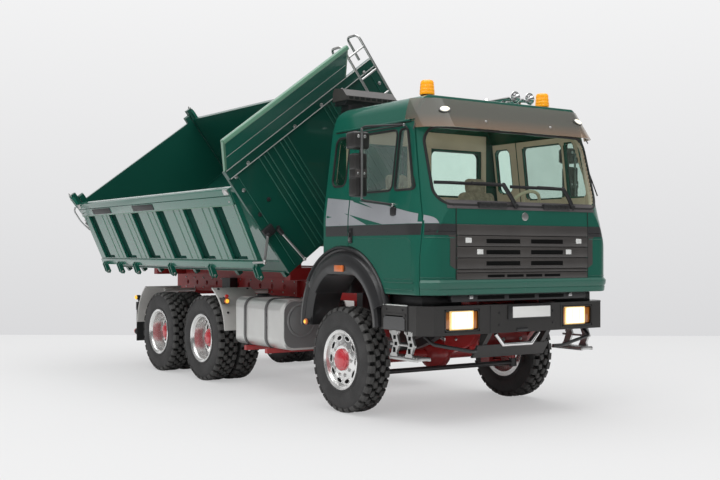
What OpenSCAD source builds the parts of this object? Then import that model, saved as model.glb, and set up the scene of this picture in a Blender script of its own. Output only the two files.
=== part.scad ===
// Scale model of a six-wheel-drive three-way tipper truck, with its bed tipped to the right.
// Lengths in millimetres, angles in degrees. The truck is drawn with +X forward, +Y left, +Z up,
// the front axle at x = 0, the mid-plane at y = 0 and the ground at z = 0, and placed() then
// moves it so that the origin is below the middle of its outer box.

/* [Wheels] */
// Outer radius of a tyre, at its lugs' tips
tyre_r = 38; // [36:0.5:40]
// Width of one tyre
tyre_w = 19; // [17:0.5:20]
// Radius of the rim's flange
rim_r = 21.5; // [20:0.5:23]
// Gap between the two tyres of a twin wheel
twin_gap = 2.5; // [1.5:0.5:4]
// Front axle to first rear axle
wheelbase = 228; // [222:1:236]
// First to second rear axle
bogie_gap = 93.5; // [88:0.5:98]
// Mid-plane to the outer face of a front tyre
front_face_y = 87; // [85:0.5:89]
// Mid-plane to the outer face of a rear tyre
rear_face_y = 86; // [85:0.5:88]

/* [Chassis] */
// Mid-plane to the outer face of a frame rail
rail_y = 29; // [26:0.5:31]
// Height of a frame rail
rail_h = 16; // [14:0.5:18]
// Top of the frame rails above the ground
rail_top = 92; // [90:0.5:94]
// Height of the tipper's subframe on the rails
subframe_h = 10; // [8:0.5:11]

/* [Cab] */
// Mid-plane to the side of the cab below its belt line
cab_y = 85.5; // [84:0.5:87]
// Front face of the cab
cab_front_x = 98.5; // [96:0.5:100]
// Back face of the cab
cab_rear_x = -24.3; // [-27:0.1:-22]
// Lower edge of the cab
cab_low = 87; // [86:0.5:88.5]
// Top of the cab's roof
cab_top = 221; // [217:0.5:225]
// Height of the gutter, where the roof panel starts
gutter_z = 203; // [201:0.5:206]
// Thickness of the cab's walls and doors
cab_wall = 3; // [2.5:0.1:3.5]
// Lean of the windscreen from upright
screen_rake = 15.4; // [12:0.1:18]

/* [Bed] */
// Angle the bed is tipped by
tip_angle = 36.8; // [25:0.1:42]
// Angle the right board is swung open by
board_angle = 12.7; // [4:0.1:25]
// Width of the bed over its boards
bed_w = 164.4; // [158:0.2:168]
// Front face of the headboard
head_x = -78.7; // [-82:0.1:-76]
// Back face of the rear posts
bed_rear_x = -430; // [-436:1:-424]
// Height of the headboard above the bed's underside
head_h = 95.5; // [88:0.5:100]
// Height of a board
board_h = 67.5; // [60:0.5:72]
// Height of the floor frame
floor_h = 12; // [10:0.5:13]
// Mid-plane to the tipping pivots
pivot_y = 55.2; // [52:0.2:58]
// Height of the tipping pivots
pivot_z = 109; // [108:0.2:111]

/* [Hidden] */
$fn = 64;

// Overrun of every cut past the face that it opens
cut = 1;
// Radial clearance of a pin in its bore
pin_clear = 0.05;
// Clearance between panels that part
seam = 0.5;
// Clearance between moving pieces that pass face to face
side_clear = 0.4;

// Axle places
rear1_x = -wheelbase;
rear2_x = -wheelbase - bogie_gap;
axle_z = tyre_r;
twin_w = 2 * tyre_w + twin_gap;

// Colours
green = [0.02, 0.19, 0.13];
red = [0.36, 0.03, 0.03];
black = [0.04, 0.04, 0.045];
dark_grey = [0.11, 0.11, 0.115];
silver = [0.72, 0.72, 0.73];
glass_tint = [0.5, 0.62, 0.58, 0.4];
amber = [0.95, 0.45, 0.03];

// Outer box, from which the origin is set
mirror_out = 107;
extension_run = 24.9;
extension_h = 119.8;
pivot_drop = 7.8;
bed_low = pivot_z + pivot_drop;
tipped_reach = (bed_w / 2 - pivot_y) * cos(tip_angle) + (bed_low + extension_h - pivot_z) * sin(tip_angle);
grille_proud = 0.8;
grille_x = cab_front_x + grille_proud;
frame_shift = [-(grille_x + bed_rear_x) / 2, -(mirror_out - pivot_y - tipped_reach) / 2, 0];

module placed() {
    translate(frame_shift) children();
}

// Both sides of the truck: the right one as drawn, and its mirror image
module both_sides() {
    children();
    mirror([0, 1, 0]) children();
}

// Box from its low corner to its high corner
module box(low, high) {
    translate(low) cube(high - low);
}

// Round bar from one point to another
module bar(p, q, r) {
    d = q - p;
    turn = [0, acos(d[2] / norm(d)), atan2(d[1], d[0])];
    translate(p) rotate(turn) cylinder(r = r, h = norm(d));
}

// Cylinders along X and Y from their starting points
module bar_x(p, length, r) {
    translate(p) rotate([0, 90, 0]) cylinder(r = r, h = length);
}
module bar_y(p, length, r) {
    translate(p) rotate([-90, 0, 0]) cylinder(r = r, h = length);
}

// Convex outline with its corners rounded
function unit(v) = v / norm(v);
function fillet(p, c, q, r) =
    let (u = unit(p - c), v = unit(q - c), half = acos(u * v) / 2, t = r / tan(half))
    [c + u * t, c + v * t, c + unit(u + v) * r / sin(half)];
module rounded(points, radii) {
    n = len(points);
    fillets = [for (i = [0:n - 1]) fillet(points[(i + n - 1) % n], points[i], points[(i + 1) % n],
        radii[i])];
    polygon([for (f = fillets) each [f[0], f[1]]]);
    for (i = [0:n - 1]) translate(fillets[i][2]) circle(radii[i]);
}
module rounded_rect(low, high, r) {
    rounded([low, [high[0], low[1]], high, [low[0], high[1]]], [r, r, r, r]);
}

// Outline in (x, z) extruded along Y between two planes
module across(y_low, y_high) {
    translate([0, y_high, 0]) rotate([90, 0, 0]) linear_extrude(y_high - y_low) children();
}
// Outline in (y, z) extruded along X between two planes
module along(x_low, x_high) {
    translate([x_low, 0, 0]) rotate([90, 0, 90]) linear_extrude(x_high - x_low) children();
}

// Frame rails, crossmembers, tank carriers and cab hinge brackets
rail_front_x = 82;
rail_rear_x = -398;
rail_t = 2;
rail_flange = 7;
cross_r = 3.5;
cross_shares = [0.26, 0.42, 0.61, 0.8];
rail_low = rail_top - rail_h;
hole_r = 2.4;
hole_pitch = 22;
rear_plate_t = 4;
rear_plate_drop = 6;
cab_pivot = [90, 0, 89];
cab_pin_r = 2;
cab_ear_r = 4.4;
cab_ear_w = 5;
cab_ear_y = 20;
tank_x = [-172, -90];
tank_y = [45, 82];
tank_z = [37, 77];
tank_arm_t = 4;
tank_arm_h = 4;
tank_strap_shares = [0.25, 0.68];

module rail() {
    difference() {
        box([rail_rear_x, -rail_y, rail_low], [rail_front_x, -rail_y + rail_flange, rail_top]);
        box([rail_rear_x - cut, -rail_y + rail_t, rail_low + rail_t],
            [rail_front_x + cut, -rail_y + rail_flange + cut, rail_top - rail_t]);
        for (x = [rail_rear_x + hole_pitch:hole_pitch:rail_front_x - hole_pitch])
            bar_y([x, -rail_y - cut, rail_top - rail_h / 2], rail_t + 2 * cut, hole_r);
    }
}

// Arm that carries a side tank: down from the rail's web and out below the tank
module tank_arm(x) {
    across_x = [x - tank_arm_t / 2, x + tank_arm_t / 2];
    box([across_x[0], -rail_y - tank_arm_h, tank_z[0] - tank_arm_h], [across_x[1], -rail_y,
        rail_top - rail_t]);
    box([across_x[0], -tank_y[1], tank_z[0] - tank_arm_h], [across_x[1], -rail_y, tank_z[0]]);
}

module frame_rails() {
    color(red) placed() {
        both_sides() {
            rail();
            for (share = tank_strap_shares) tank_arm(tank_x[0] + share * (tank_x[1] - tank_x[0]));
            difference() {
                union() {
                    bar_y([cab_pivot[0], -cab_ear_y - cab_ear_w, cab_pivot[2]], cab_ear_w, cab_ear_r);
                    box([rail_front_x - rail_h, -rail_y, cab_pivot[2] - cab_ear_r],
                        [rail_front_x, -cab_ear_y, rail_top - rail_t]);
                    box([rail_front_x - rail_h, -cab_ear_y - cab_ear_w, cab_pivot[2] - cab_ear_r],
                        [cab_pivot[0], -cab_ear_y, cab_pivot[2]]);
                }
                bar_y([cab_pivot[0], -cab_ear_y - cab_ear_w - cut, cab_pivot[2]],
                    cab_ear_w + 2 * cut, cab_pin_r + pin_clear);
            }
        }
        for (share = cross_shares)
            bar_y([rail_front_x + share * (rail_rear_x - rail_front_x), -rail_y, rail_low + rail_h / 2],
                2 * rail_y, cross_r);
        box([rail_rear_x - rear_plate_t, -rail_y, rail_low - rear_plate_drop], [rail_rear_x, rail_y,
            rail_top]);
    }
}

// Tipper subframe with the pivot yokes: right ones closed, left ones open cradles
sub_front_x = -64;
sub_rear_x = -400;
sub_w = 7;
sub_top = rail_top + subframe_h;
yoke_front_x = -118;
yoke_rear_x = -386;
yoke_w = 6;
pivot_r = 3;
yoke_wall = 2.6;
yoke_r = pivot_r + yoke_wall;
beam_w = 8;
hoist_x = -268;
hoist_z = 84;
trunnion_r = 3;
trunnion_gap = 12;
trunnion_plate_t = 4;
trunnion_plate_drop = 6;
trunnion_plate_low = hoist_z - trunnion_plate_drop;

module yoke(x, open) {
    difference() {
        union() {
            bar_x([x - yoke_w / 2, -pivot_y, pivot_z], yoke_w, yoke_r);
            box([x - yoke_w / 2, -pivot_y - yoke_r, sub_top - subframe_h],
                [x + yoke_w / 2, -pivot_y + yoke_r, pivot_z]);
        }
        bar_x([x - yoke_w / 2 - cut, -pivot_y, pivot_z], yoke_w + 2 * cut,
            pivot_r + (open ? side_clear : pin_clear));
        if (open)
            box([x - yoke_w / 2 - cut, -pivot_y - yoke_r - cut, pivot_z],
                [x + yoke_w / 2 + cut, -pivot_y + yoke_r + cut, pivot_z + yoke_r + cut]);
    }
}

module tipper_subframe() {
    color(red) placed() {
        both_sides() box([sub_rear_x, -rail_y, rail_top], [sub_front_x, -rail_y + sub_w, sub_top]);
        for (x = [yoke_front_x, yoke_rear_x]) {
            box([x - beam_w / 2, -pivot_y - yoke_r, rail_top], [x + beam_w / 2, pivot_y + yoke_r, sub_top]);
            yoke(x, false);
            mirror([0, 1, 0]) yoke(x, true);
        }
        for (side = [-1, 1]) difference() {
            box([hoist_x + side * trunnion_gap - trunnion_plate_t / 2, -rail_y + sub_w, trunnion_plate_low],
                [hoist_x + side * trunnion_gap + trunnion_plate_t / 2, rail_y - sub_w, sub_top]);
            bar_x([hoist_x + side * trunnion_gap - trunnion_plate_t, 0, hoist_z], 2 * trunnion_plate_t,
                trunnion_r + pin_clear);
        }
    }
}

// Axles: front beam with kingpin ears, and two rear beams with wheel spindles
king_y = 61;
king_r = 2;
fork_h = 22;
fork_ear_t = 4;
fork_r = 5;
fork_reach = 7;
fork_web_t = 4;
beam_r = 4.5;
rear_beam_r = 5.5;
diff_r = 12;
nose_r = 5;
nose_reach = 17;
spindle_r = 4;
spindle_end = 74;
rim_clear = 1;
rear_beam_end = rear_face_y - twin_w - rim_clear;

module differential(x, noses) {
    translate([x, 0, axle_z]) sphere(diff_r);
    for (side = noses) bar([x, 0, axle_z], [x + side * nose_reach, 0, axle_z], nose_r);
}

module front_axle() {
    web_y = -king_y + fork_reach;
    differential(0, [-1]);
    bar_y([0, web_y, axle_z], -2 * web_y, beam_r);
    both_sides() difference() {
        union() {
            box([-fork_r, web_y, axle_z - fork_h / 2], [fork_r, web_y + fork_web_t, axle_z + fork_h / 2]);
            for (low = [axle_z - fork_h / 2, axle_z + fork_h / 2 - fork_ear_t]) {
                translate([0, -king_y, low]) cylinder(r = fork_r, h = fork_ear_t);
                translate([-fork_r, -king_y, low]) cube([2 * fork_r, fork_reach, fork_ear_t]);
            }
        }
        translate([0, -king_y, axle_z - fork_h]) cylinder(r = king_r + pin_clear, h = 2 * fork_h);
    }
}

module rear_axle(x, noses) {
    differential(x, noses);
    bar_y([x, -rear_beam_end, axle_z], 2 * rear_beam_end, rear_beam_r);
    bar_y([x, -spindle_end, axle_z], 2 * spindle_end, spindle_r);
}

module axles() {
    color(red) placed() {
        front_axle();
        rear_axle(rear1_x, [-1, 1]);
        rear_axle(rear2_x, [1]);
    }
}

// Leaf springs: front packs below the rails, rear packs over the two rear axles
spring_w = 6;
spring_out = 2;
spring_y = rail_y + spring_out;
spring_t = 6;
front_spring_half = 48;
front_spring_r = 92;
front_spring_low = axle_z + beam_r;
rear_spring_over = 5;
rear_spring_half = bogie_gap / 2 + rear_spring_over;
rear_spring_r = 120;
rear_spring_low = axle_z + rear_beam_r;
hanger_w = 8;

module front_spring() {
    centre_z = front_spring_low + front_spring_r;
    reach = sqrt(pow(front_spring_r - spring_t / 2, 2) - pow(front_spring_half, 2));
    across(-spring_y - spring_w, -spring_y) intersection() {
        translate([0, centre_z]) difference() {
            circle(front_spring_r);
            circle(front_spring_r - spring_t);
        }
        translate([-front_spring_half, 0]) square([2 * front_spring_half, centre_z - reach / 2]);
    }
    for (side = [-1, 1])
        box([side * front_spring_half - hanger_w / 2, -spring_y - spring_w,
            centre_z - reach - spring_t / 2],
            [side * front_spring_half + hanger_w / 2, -rail_y, rail_top - rail_t]);
}

module rear_spring() {
    centre_x = (rear1_x + rear2_x) / 2;
    rise = rear_spring_r - sqrt(pow(rear_spring_r, 2) - pow(bogie_gap / 2, 2));
    centre_z = rear_spring_low + rise - rear_spring_r + spring_t;
    across(-spring_y - spring_w, -spring_y) intersection() {
        translate([centre_x, centre_z]) difference() {
            circle(rear_spring_r);
            circle(rear_spring_r - spring_t);
        }
        translate([centre_x - rear_spring_half, rear_spring_low]) square([2 * rear_spring_half,
            rear_spring_r]);
    }
    box([centre_x - hanger_w, -spring_y - spring_w, centre_z + rear_spring_r - spring_t / 2],
        [centre_x + hanger_w, -rail_y, rail_top - rail_t]);
}

module leaf_springs() {
    color(black) placed() both_sides() {
        front_spring();
        rear_spring();
    }
}

// Drive block below the cab, transfer case and propeller shafts
block_low = [-30, -21.5, 56];
block_high = [65, 21.5, 94];
block_r = 4;
case_x = [-112, -84];
case_y = 18;
case_z = [27, 62];
shaft_r = 3;
case_r = 5;

module driveline() {
    color(dark_grey) placed() {
        across(block_low[1], block_high[1])
            rounded_rect([block_low[0], block_low[2]], [block_high[0], block_high[2]], block_r);
        across(-case_y, case_y) rounded_rect([case_x[0], case_z[0]], [case_x[1], case_z[1]], case_r);
        box([case_x[1], -shaft_r, case_z[1] - case_r - shaft_r], [block_low[0] + block_r, shaft_r,
            case_z[1] - case_r + shaft_r]);
        bar([case_x[1], 0, axle_z], [-nose_reach, 0, axle_z], shaft_r);
        bar([rear1_x + nose_reach, 0, axle_z], [case_x[0], 0, axle_z], shaft_r);
        bar([rear2_x + nose_reach, 0, axle_z], [rear1_x - nose_reach, 0, axle_z], shaft_r);
    }
}

// Fuel tank on the right with its straps
tank_corner_r = 9;
tank_end_r = 5;
tank_press_r = 13;
tank_press_depth = 0.8;
strap_t = 0.8;
strap_w = 3;

module tank_section(grow) {
    rounded_rect([-tank_y[1] - grow, tank_z[0] - grow], [-tank_y[0] + grow, tank_z[1] + grow],
        tank_corner_r + grow);
}

module fuel_tank() {
    color(silver) placed() difference() {
        intersection() {
            along(tank_x[0], tank_x[1]) tank_section(0);
            translate([0, 0, tank_z[0]]) linear_extrude(tank_z[1] - tank_z[0])
                rounded_rect([tank_x[0], -tank_y[1]], [tank_x[1], -tank_y[0]], tank_end_r);
        }
        bar_x([tank_x[1] - tank_press_depth, -(tank_y[0] + tank_y[1]) / 2, (tank_z[0] + tank_z[1]) / 2],
            cut, tank_press_r);
    }
}

module tank_straps() {
    color(black) placed() for (share = tank_strap_shares)
        let (x = tank_x[0] + share * (tank_x[1] - tank_x[0]))
            difference() {
                along(x - strap_w / 2, x + strap_w / 2) tank_section(strap_t);
                along(x - strap_w, x + strap_w) tank_section(0);
                box([x - strap_w, -tank_y[1] - cut, tank_z[0] - tank_arm_h], [x + strap_w, -rail_y,
                    tank_z[0]]);
            }
}

// Battery box and air tanks on the left, on the tank carriers of that side
battery_x = [-132, -90];
battery_lid_h = 4;
battery_lid_lip = 1;
air_tank_r = 9;
air_tank_x = [-172, -134];

module battery_box() {
    color(dark_grey) placed() {
        box([battery_x[0], tank_y[0], tank_z[0]], [battery_x[1], tank_y[1], tank_z[1] - battery_lid_h]);
        box([battery_x[0] - battery_lid_lip, tank_y[0] - battery_lid_lip, tank_z[1] - battery_lid_h],
            [battery_x[1] + battery_lid_lip, tank_y[1] + battery_lid_lip, tank_z[1]]);
        for (y = [tank_y[0] + air_tank_r, tank_y[1] - air_tank_r])
            bar_x([air_tank_x[0], y, tank_z[0] + air_tank_r], air_tank_x[1] - air_tank_x[0], air_tank_r);
    }
}

// Mudguards of the rear wheels, their flaps and the rear lamps
guard_t = 1.2;
guard_y = [45, 84];
guard_r = 43;
guard_lift = 6;
guard_back = 14;
guard_front_angles = [4, 66];
guard_rear_angles = [122, 180];
guard_front_centre = [rear1_x, axle_z + guard_lift];
guard_rear_centre = [rear2_x - guard_back, axle_z + guard_lift];
stay_r = 1.8;
stay_sink = 0.6;
stay_angle_off = 5;
flap_x = guard_rear_centre[0] - guard_r;
flap_t = 1.5;
flap_y = [50, 84];
flap_z = [25, 62];
lamp_depth = 4;
lamp_y = [64, 83];
lamp_z = [56, 64];
low_lamp_r = 3;
low_lamp_z = 34;
side_lamp_y = [78, 83];
side_lamp_z = [70, 75];
side_lamp_in = 3.5;

// Part of a ring between two angles
module ring_sector(r, t, arc) {
    middle = (arc[0] + arc[1]) / 2;
    intersection() {
        difference() {
            circle(r);
            circle(r - t);
        }
        polygon([[0, 0], for (a = [arc[0], middle, arc[1]]) 2 * r * [cos(a), sin(a)]]);
    }
}

module guard(centre, arc, stay_angle) {
    stay_at = centre + (guard_r - guard_t - stay_r + stay_sink) * [cos(stay_angle), sin(stay_angle)];
    across(-guard_y[1], -guard_y[0]) translate(centre) ring_sector(guard_r, guard_t, arc);
    bar_y([stay_at[0], -guard_y[1] + guard_r / 2, stay_at[1]], guard_y[1] - guard_r / 2 - rail_y, stay_r);
}

module mudguards() {
    color(silver) placed() both_sides() {
        guard(guard_front_centre, guard_front_angles, guard_front_angles[1] - stay_angle_off);
        guard(guard_rear_centre, guard_rear_angles, guard_rear_angles[0] + stay_angle_off);
    }
}

module mud_flaps() {
    color(black) placed() both_sides()
        box([flap_x - flap_t, -flap_y[1], flap_z[0]], [flap_x, -flap_y[0], flap_z[1]]);
}

module rear_lamps() {
    back_x = flap_x - flap_t;
    color(amber) placed() both_sides() {
        box([back_x - lamp_depth, -lamp_y[1], lamp_z[0]], [back_x, -lamp_y[0], lamp_z[1]]);
        bar_x([back_x - lamp_depth, -lamp_y[1] + low_lamp_r, low_lamp_z], lamp_depth, low_lamp_r);
        difference() {
            box([guard_front_centre[0], -side_lamp_y[1], side_lamp_z[0]],
                [guard_front_centre[0] + guard_r - side_lamp_in, -side_lamp_y[0], side_lamp_z[1]]);
            across(-guard_y[1], -guard_y[0]) translate(guard_front_centre) circle(guard_r);
        }
    }
}

// Rear tow coupling: a jaw with a bore for a drawbar pin
jaw_z = 80;
jaw_gap = 7;
jaw_t = 3;
jaw_w = 14;
jaw_x = rail_rear_x - rear_plate_t;
jaw_reach = 12;
jaw_pin_r = 2;
jaw_foot = 4;

module tow_coupling() {
    color(dark_grey) placed() difference() {
        union() {
            for (level = [-1, 1]) {
                z = jaw_z + level * (jaw_gap + jaw_t) / 2 - jaw_t / 2;
                translate([jaw_x - jaw_reach, 0, z]) cylinder(r = jaw_w / 2, h = jaw_t);
                translate([jaw_x - jaw_reach, -jaw_w / 2, z]) cube([jaw_reach, jaw_w, jaw_t]);
            }
            box([jaw_x - jaw_foot, -jaw_w / 2, jaw_z - jaw_gap / 2 - jaw_t], [jaw_x, jaw_w / 2,
                jaw_z + jaw_gap / 2 + jaw_t]);
        }
        translate([jaw_x - jaw_reach, 0, jaw_z - jaw_gap - jaw_t]) cylinder(r = jaw_pin_r,
            h = 2 * (jaw_gap + jaw_t));
    }
}

// Bumper with its corner pieces, step boxes and skid plate, and what it carries
bumper_x = 96;
bumper_depth = 12;
bumper_z = [60.5, 79.7];
bumper_flat_y = 77;
bumper_corner_x = 88;
step_box_x = 49;
step_box_y = 62;
step_box_low = 63;
lamp_centre_y = 53.3;
lamp_half = [15, 7.4];
lamp_recess = 3;
lamp_corner = 2;
bumper_arm_y = [26, 31];
skid_half_y = 33;
skid_z = [43, 52];
skid_x = [80, 88];
skid_t = 2;
skid_arm_w = 4;

module bumper_plan() {
    polygon([
        [bumper_x - bumper_depth, -step_box_y], [step_box_x, -step_box_y], [step_box_x, -cab_y],
        [bumper_corner_x, -cab_y], [bumper_x, -bumper_flat_y], [bumper_x, bumper_flat_y],
        [bumper_corner_x, cab_y], [step_box_x, cab_y], [step_box_x, step_box_y],
        [bumper_x - bumper_depth, step_box_y]
    ]);
}

module skid_plate() {
    across(-skid_half_y, skid_half_y) polygon([
        [skid_x[0], skid_z[0]], [skid_x[0] + skid_t, skid_z[0]],
        [skid_x[1], skid_z[1]], [skid_x[1] - skid_t, skid_z[1]]
    ]);
    for (y = [-skid_half_y + skid_arm_w, skid_half_y - 2 * skid_arm_w])
        across(y, y + skid_arm_w) polygon([
            [skid_x[1] - 2 * skid_t, skid_z[1] - skid_t], [skid_x[1] - skid_t, skid_z[1] - skid_t],
            [bumper_x - skid_t, bumper_z[0]], [bumper_x - bumper_depth + skid_t, bumper_z[0]]
        ]);
}

module bumper() {
    color(dark_grey) placed() {
        difference() {
            translate([0, 0, bumper_z[0]]) linear_extrude(bumper_z[1] - bumper_z[0]) bumper_plan();
            both_sides() {
                box([bumper_x - lamp_recess, -lamp_centre_y - lamp_half[0],
                    (bumper_z[0] + bumper_z[1]) / 2 - lamp_half[1]],
                    [bumper_x + cut, -lamp_centre_y + lamp_half[0],
                        (bumper_z[0] + bumper_z[1]) / 2 + lamp_half[1]]);
                box([step_box_x - cut, -cab_y - cut, bumper_z[0] - cut],
                    [bumper_x - bumper_depth, -step_box_y + cut, step_box_low]);
            }
        }
        both_sides() box([rail_front_x, -bumper_arm_y[1], rail_low], [bumper_x - bumper_depth,
            -bumper_arm_y[0], bumper_z[1]]);
        skid_plate();
    }
}

module headlamps() {
    color("white") placed() both_sides() along(bumper_x - lamp_recess, bumper_x)
        rounded_rect([-lamp_centre_y - lamp_half[0], (bumper_z[0] + bumper_z[1]) / 2 - lamp_half[1]],
            [-lamp_centre_y + lamp_half[0], (bumper_z[0] + bumper_z[1]) / 2 + lamp_half[1]], lamp_corner);
}

// Bright towing hoop below the bumper
hoop_r = 1.4;
hoop_x = 91;
hoop_top_y = 20;
hoop_low_y = 13;
hoop_low_z = 52;
hoop_gap = 1;

module tow_hoop() {
    corner_r = [hoop_x, -hoop_low_y, hoop_low_z];
    corner_l = [hoop_x, hoop_low_y, hoop_low_z];
    color(silver) placed() {
        bar(corner_r, [hoop_x, -hoop_top_y, bumper_z[0] - hoop_gap], hoop_r);
        bar(corner_l, [hoop_x, hoop_top_y, bumper_z[0] - hoop_gap], hoop_r);
        bar(corner_r, corner_l, hoop_r);
        for (c = [corner_r, corner_l]) translate(c) sphere(hoop_r);
    }
}

// Hanging entry steps below the step boxes: a tread on two zig-zag straps
tread_x = [53, 84];
tread_y = [70, 82];
tread_z = [43, 45];
strap_step_w = 6;
strap_step_t = 1.6;
strap_step_shares = [0.08, 0.62];
zig = 3;

module zig_strap(x) {
    height = step_box_low - tread_z[1];
    across(-tread_y[1], -tread_y[1] + strap_step_t) for (k = [0:1]) {
        low = tread_z[1] + k * height / 2;
        shift = k == 0 ? [0, zig] : [zig, 0];
        polygon([
            [x + shift[0], low], [x + shift[0] + strap_step_w, low],
            [x + shift[1] + strap_step_w, low + height / 2], [x + shift[1], low + height / 2]
        ]);
    }
}

module entry_steps() {
    color(silver) placed() both_sides() {
        box([tread_x[0], -tread_y[1], tread_z[0]], [tread_x[1], -tread_y[0], tread_z[1]]);
        for (share = strap_step_shares) zig_strap(tread_x[0] + share * (tread_x[1] - tread_x[0]));
    }
}

// Air intake stack behind the cab, with a hood on top
stack_x = [-45, -31];
stack_y = [44, 58];
stack_r = 4;
stack_low = 84;
hood_y = [16, 63];
hood_x = [-47, -28];
hood_z = [230, 240];
hood_r = 3;
stack_arm_h = 8;

module air_intake() {
    color(black) placed() {
        translate([0, 0, stack_low]) linear_extrude(hood_z[0] - stack_low)
            rounded_rect([stack_x[0], -stack_y[1]], [stack_x[1], -stack_y[0]], stack_r);
        along(hood_x[0], hood_x[1]) rounded_rect([-hood_y[1], hood_z[0]], [-hood_y[0], hood_z[1]], hood_r);
        box([stack_x[0] + stack_r, -stack_y[0], stack_low], [stack_x[1] - stack_r, -rail_y,
            stack_low + stack_arm_h]);
    }
}

// Cab: one outer form, of which the panels are cut
belt_z = 140;
belt_round = 40;
gutter_y = 77.5;
shoulder_y = 72;
shoulder_r = 12;
gutter_round = 5;
screen_foot = [98, 147];
screen_round = 24;
corner_round = 13;
roof_front_x = 76;
roof_round = 14;
rear_round = 10;
foot_round = 2;

// The cab's form, moved in by an inset
module cab_form(inset) {
    low = cab_low - cut;
    side_y = cab_y - inset;
    front_x = cab_front_x - inset;
    top = cab_top - inset;
    intersection() {
        across(-cab_y, cab_y) rounded(
            [[cab_rear_x + inset, low], [front_x + roof_round, low], [front_x + roof_round, belt_z],
                [roof_front_x - inset + roof_round / 2, top], [cab_rear_x + inset, top]],
            [foot_round, foot_round, foot_round, roof_round, rear_round]);
        along(cab_rear_x, cab_front_x) rounded(
            [[-side_y, low], [side_y, low], [side_y, belt_z], [gutter_y - inset, gutter_z],
                [shoulder_y - inset, top], [-shoulder_y + inset, top], [-gutter_y + inset, gutter_z],
                    [-side_y, belt_z]],
            [foot_round, foot_round, belt_round, gutter_round, shoulder_r, shoulder_r, gutter_round,
                belt_round]);
        translate([0, 0, low]) linear_extrude(cab_top - low)
            rounded([[2 * cab_rear_x, -side_y], [front_x, -side_y], [front_x, side_y], [2 * cab_rear_x,
                side_y]],
                [foot_round, corner_round, corner_round, foot_round]);
        translate([screen_foot[0] - inset, 0, screen_foot[1]]) rotate([0, -screen_rake, 0])
            translate([0, 0, -cab_top]) linear_extrude(2 * cab_top)
            rounded([[-2 * cab_top, -side_y], [0, -side_y], [0, side_y], [-2 * cab_top, side_y]],
                [foot_round, screen_round, screen_round, foot_round]);
    }
}

module cab_shell() {
    difference() {
        cab_form(0);
        cab_form(cab_wall);
    }
}

// Door outline in (x, z), grown by a margin
door_rear_x = 8.5;
door_front_x = 90;
door_belt_z = 133;
door_front_top_x = 75.5;
arch_centre = [1, 62];
arch_clear = 2;
flare_w = 17.5;
arch_inner_r = tyre_r + arch_clear;
arch_r = arch_inner_r + flare_w;

module door_outline(grow) {
    difference() {
        polygon([
            [door_rear_x - grow, cab_low - cut], [door_front_x + grow, cab_low - cut],
                [door_front_x + grow, door_belt_z],
            [door_front_top_x + grow, gutter_z + grow - seam], [door_rear_x - grow, gutter_z + grow - seam]
        ]);
        translate(arch_centre) circle(arch_r + seam - grow);
    }
}

// Windows in (x, z), shrunk by a margin
window_r = 4;
window_x = [15, 57.5, 61];
window_z = [157, 197.5];
window_front_x = [69, 82];
quarter_x = [-17, 0];
quarter_z = [163, 197.5];
quarter_r = 5;

module door_windows(shrink) {
    rounded_rect([window_x[0] + shrink, window_z[0] + shrink], [window_x[1] - shrink,
        window_z[1] - shrink], window_r);
    rounded([[window_x[2] + shrink, window_z[0] + shrink], [window_front_x[1] - shrink,
        window_z[0] + shrink],
        [window_front_x[0] - shrink, window_z[1] - shrink], [window_x[2] + shrink, window_z[1] - shrink]],
        [window_r / 2, window_r, window_r / 2, window_r / 2]);
}

module quarter_window(shrink) {
    rounded_rect([quarter_x[0] + shrink, quarter_z[0] + shrink], [quarter_x[1] - shrink,
        quarter_z[1] - shrink], quarter_r);
}

// Windscreen and rear windows in (y, z)
screen_y = 74;
screen_z = [147, 198];
screen_r = 11;
rear_window_y = [13, 62];
rear_window_z = [160, 195];
rear_window_r = 5;

module screen_outline(shrink) {
    rounded_rect([-screen_y + shrink, screen_z[0] + shrink], [screen_y - shrink, screen_z[1] - shrink],
        screen_r);
}

module rear_windows(shrink) {
    for (side = [0, 1]) mirror([side, 0])
        rounded_rect([rear_window_y[0] + shrink, rear_window_z[0] + shrink],
            [rear_window_y[1] - shrink, rear_window_z[1] - shrink], rear_window_r);
}

// Zones of the cab along its length
rear_zone = cab_rear_x + cab_wall;
grille_y = 59.5;
grille_z = [101, 133.4];

module front_zone() {
    across(-2 * cab_y, 2 * cab_y) difference() {
        translate([door_rear_x, cab_low]) square([cab_front_x - door_rear_x + cut, gutter_z - cab_low]);
        polygon([
            [door_rear_x - cut, cab_low - 2 * cut], [door_front_x + seam, cab_low - 2 * cut],
                [door_front_x + seam, door_belt_z],
            [door_front_top_x + seam, gutter_z + cut], [door_rear_x - cut, gutter_z + cut]
        ]);
    }
}

module cab_rear_wall() {
    color(green) placed() difference() {
        intersection() {
            cab_shell();
            box([cab_rear_x - cut, -cab_y, floor_z[0]], [rear_zone, cab_y, gutter_z]);
        }
        along(cab_rear_x - cut, rear_zone + cut) rear_windows(0);
        both_sides() across(-2 * cab_y, -fender_y[0]) translate(arch_centre) circle(arch_r);
    }
}

module cab_side_panels() {
    color(green) placed() difference() {
        intersection() {
            cab_shell();
            box([rear_zone, -cab_y, cab_low], [door_rear_x - seam, cab_y, gutter_z]);
        }
        across(-2 * cab_y, 2 * cab_y) {
            quarter_window(0);
            translate(arch_centre) circle(arch_r);
        }
    }
}

module cab_front() {
    color(green) placed() difference() {
        intersection() {
            cab_shell();
            front_zone();
        }
        along(screen_foot[0] / 2, cab_front_x + cut) screen_outline(0);
        box([cab_front_x - cab_wall - cut, -grille_y, grille_z[0]], [cab_front_x + cut, grille_y,
            grille_z[1]]);
    }
}

module cab_roof() {
    color(green) placed() intersection() {
        cab_shell();
        box([cab_rear_x - cut, -cab_y, gutter_z], [cab_front_x, cab_y, cab_top + cut]);
    }
}

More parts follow.
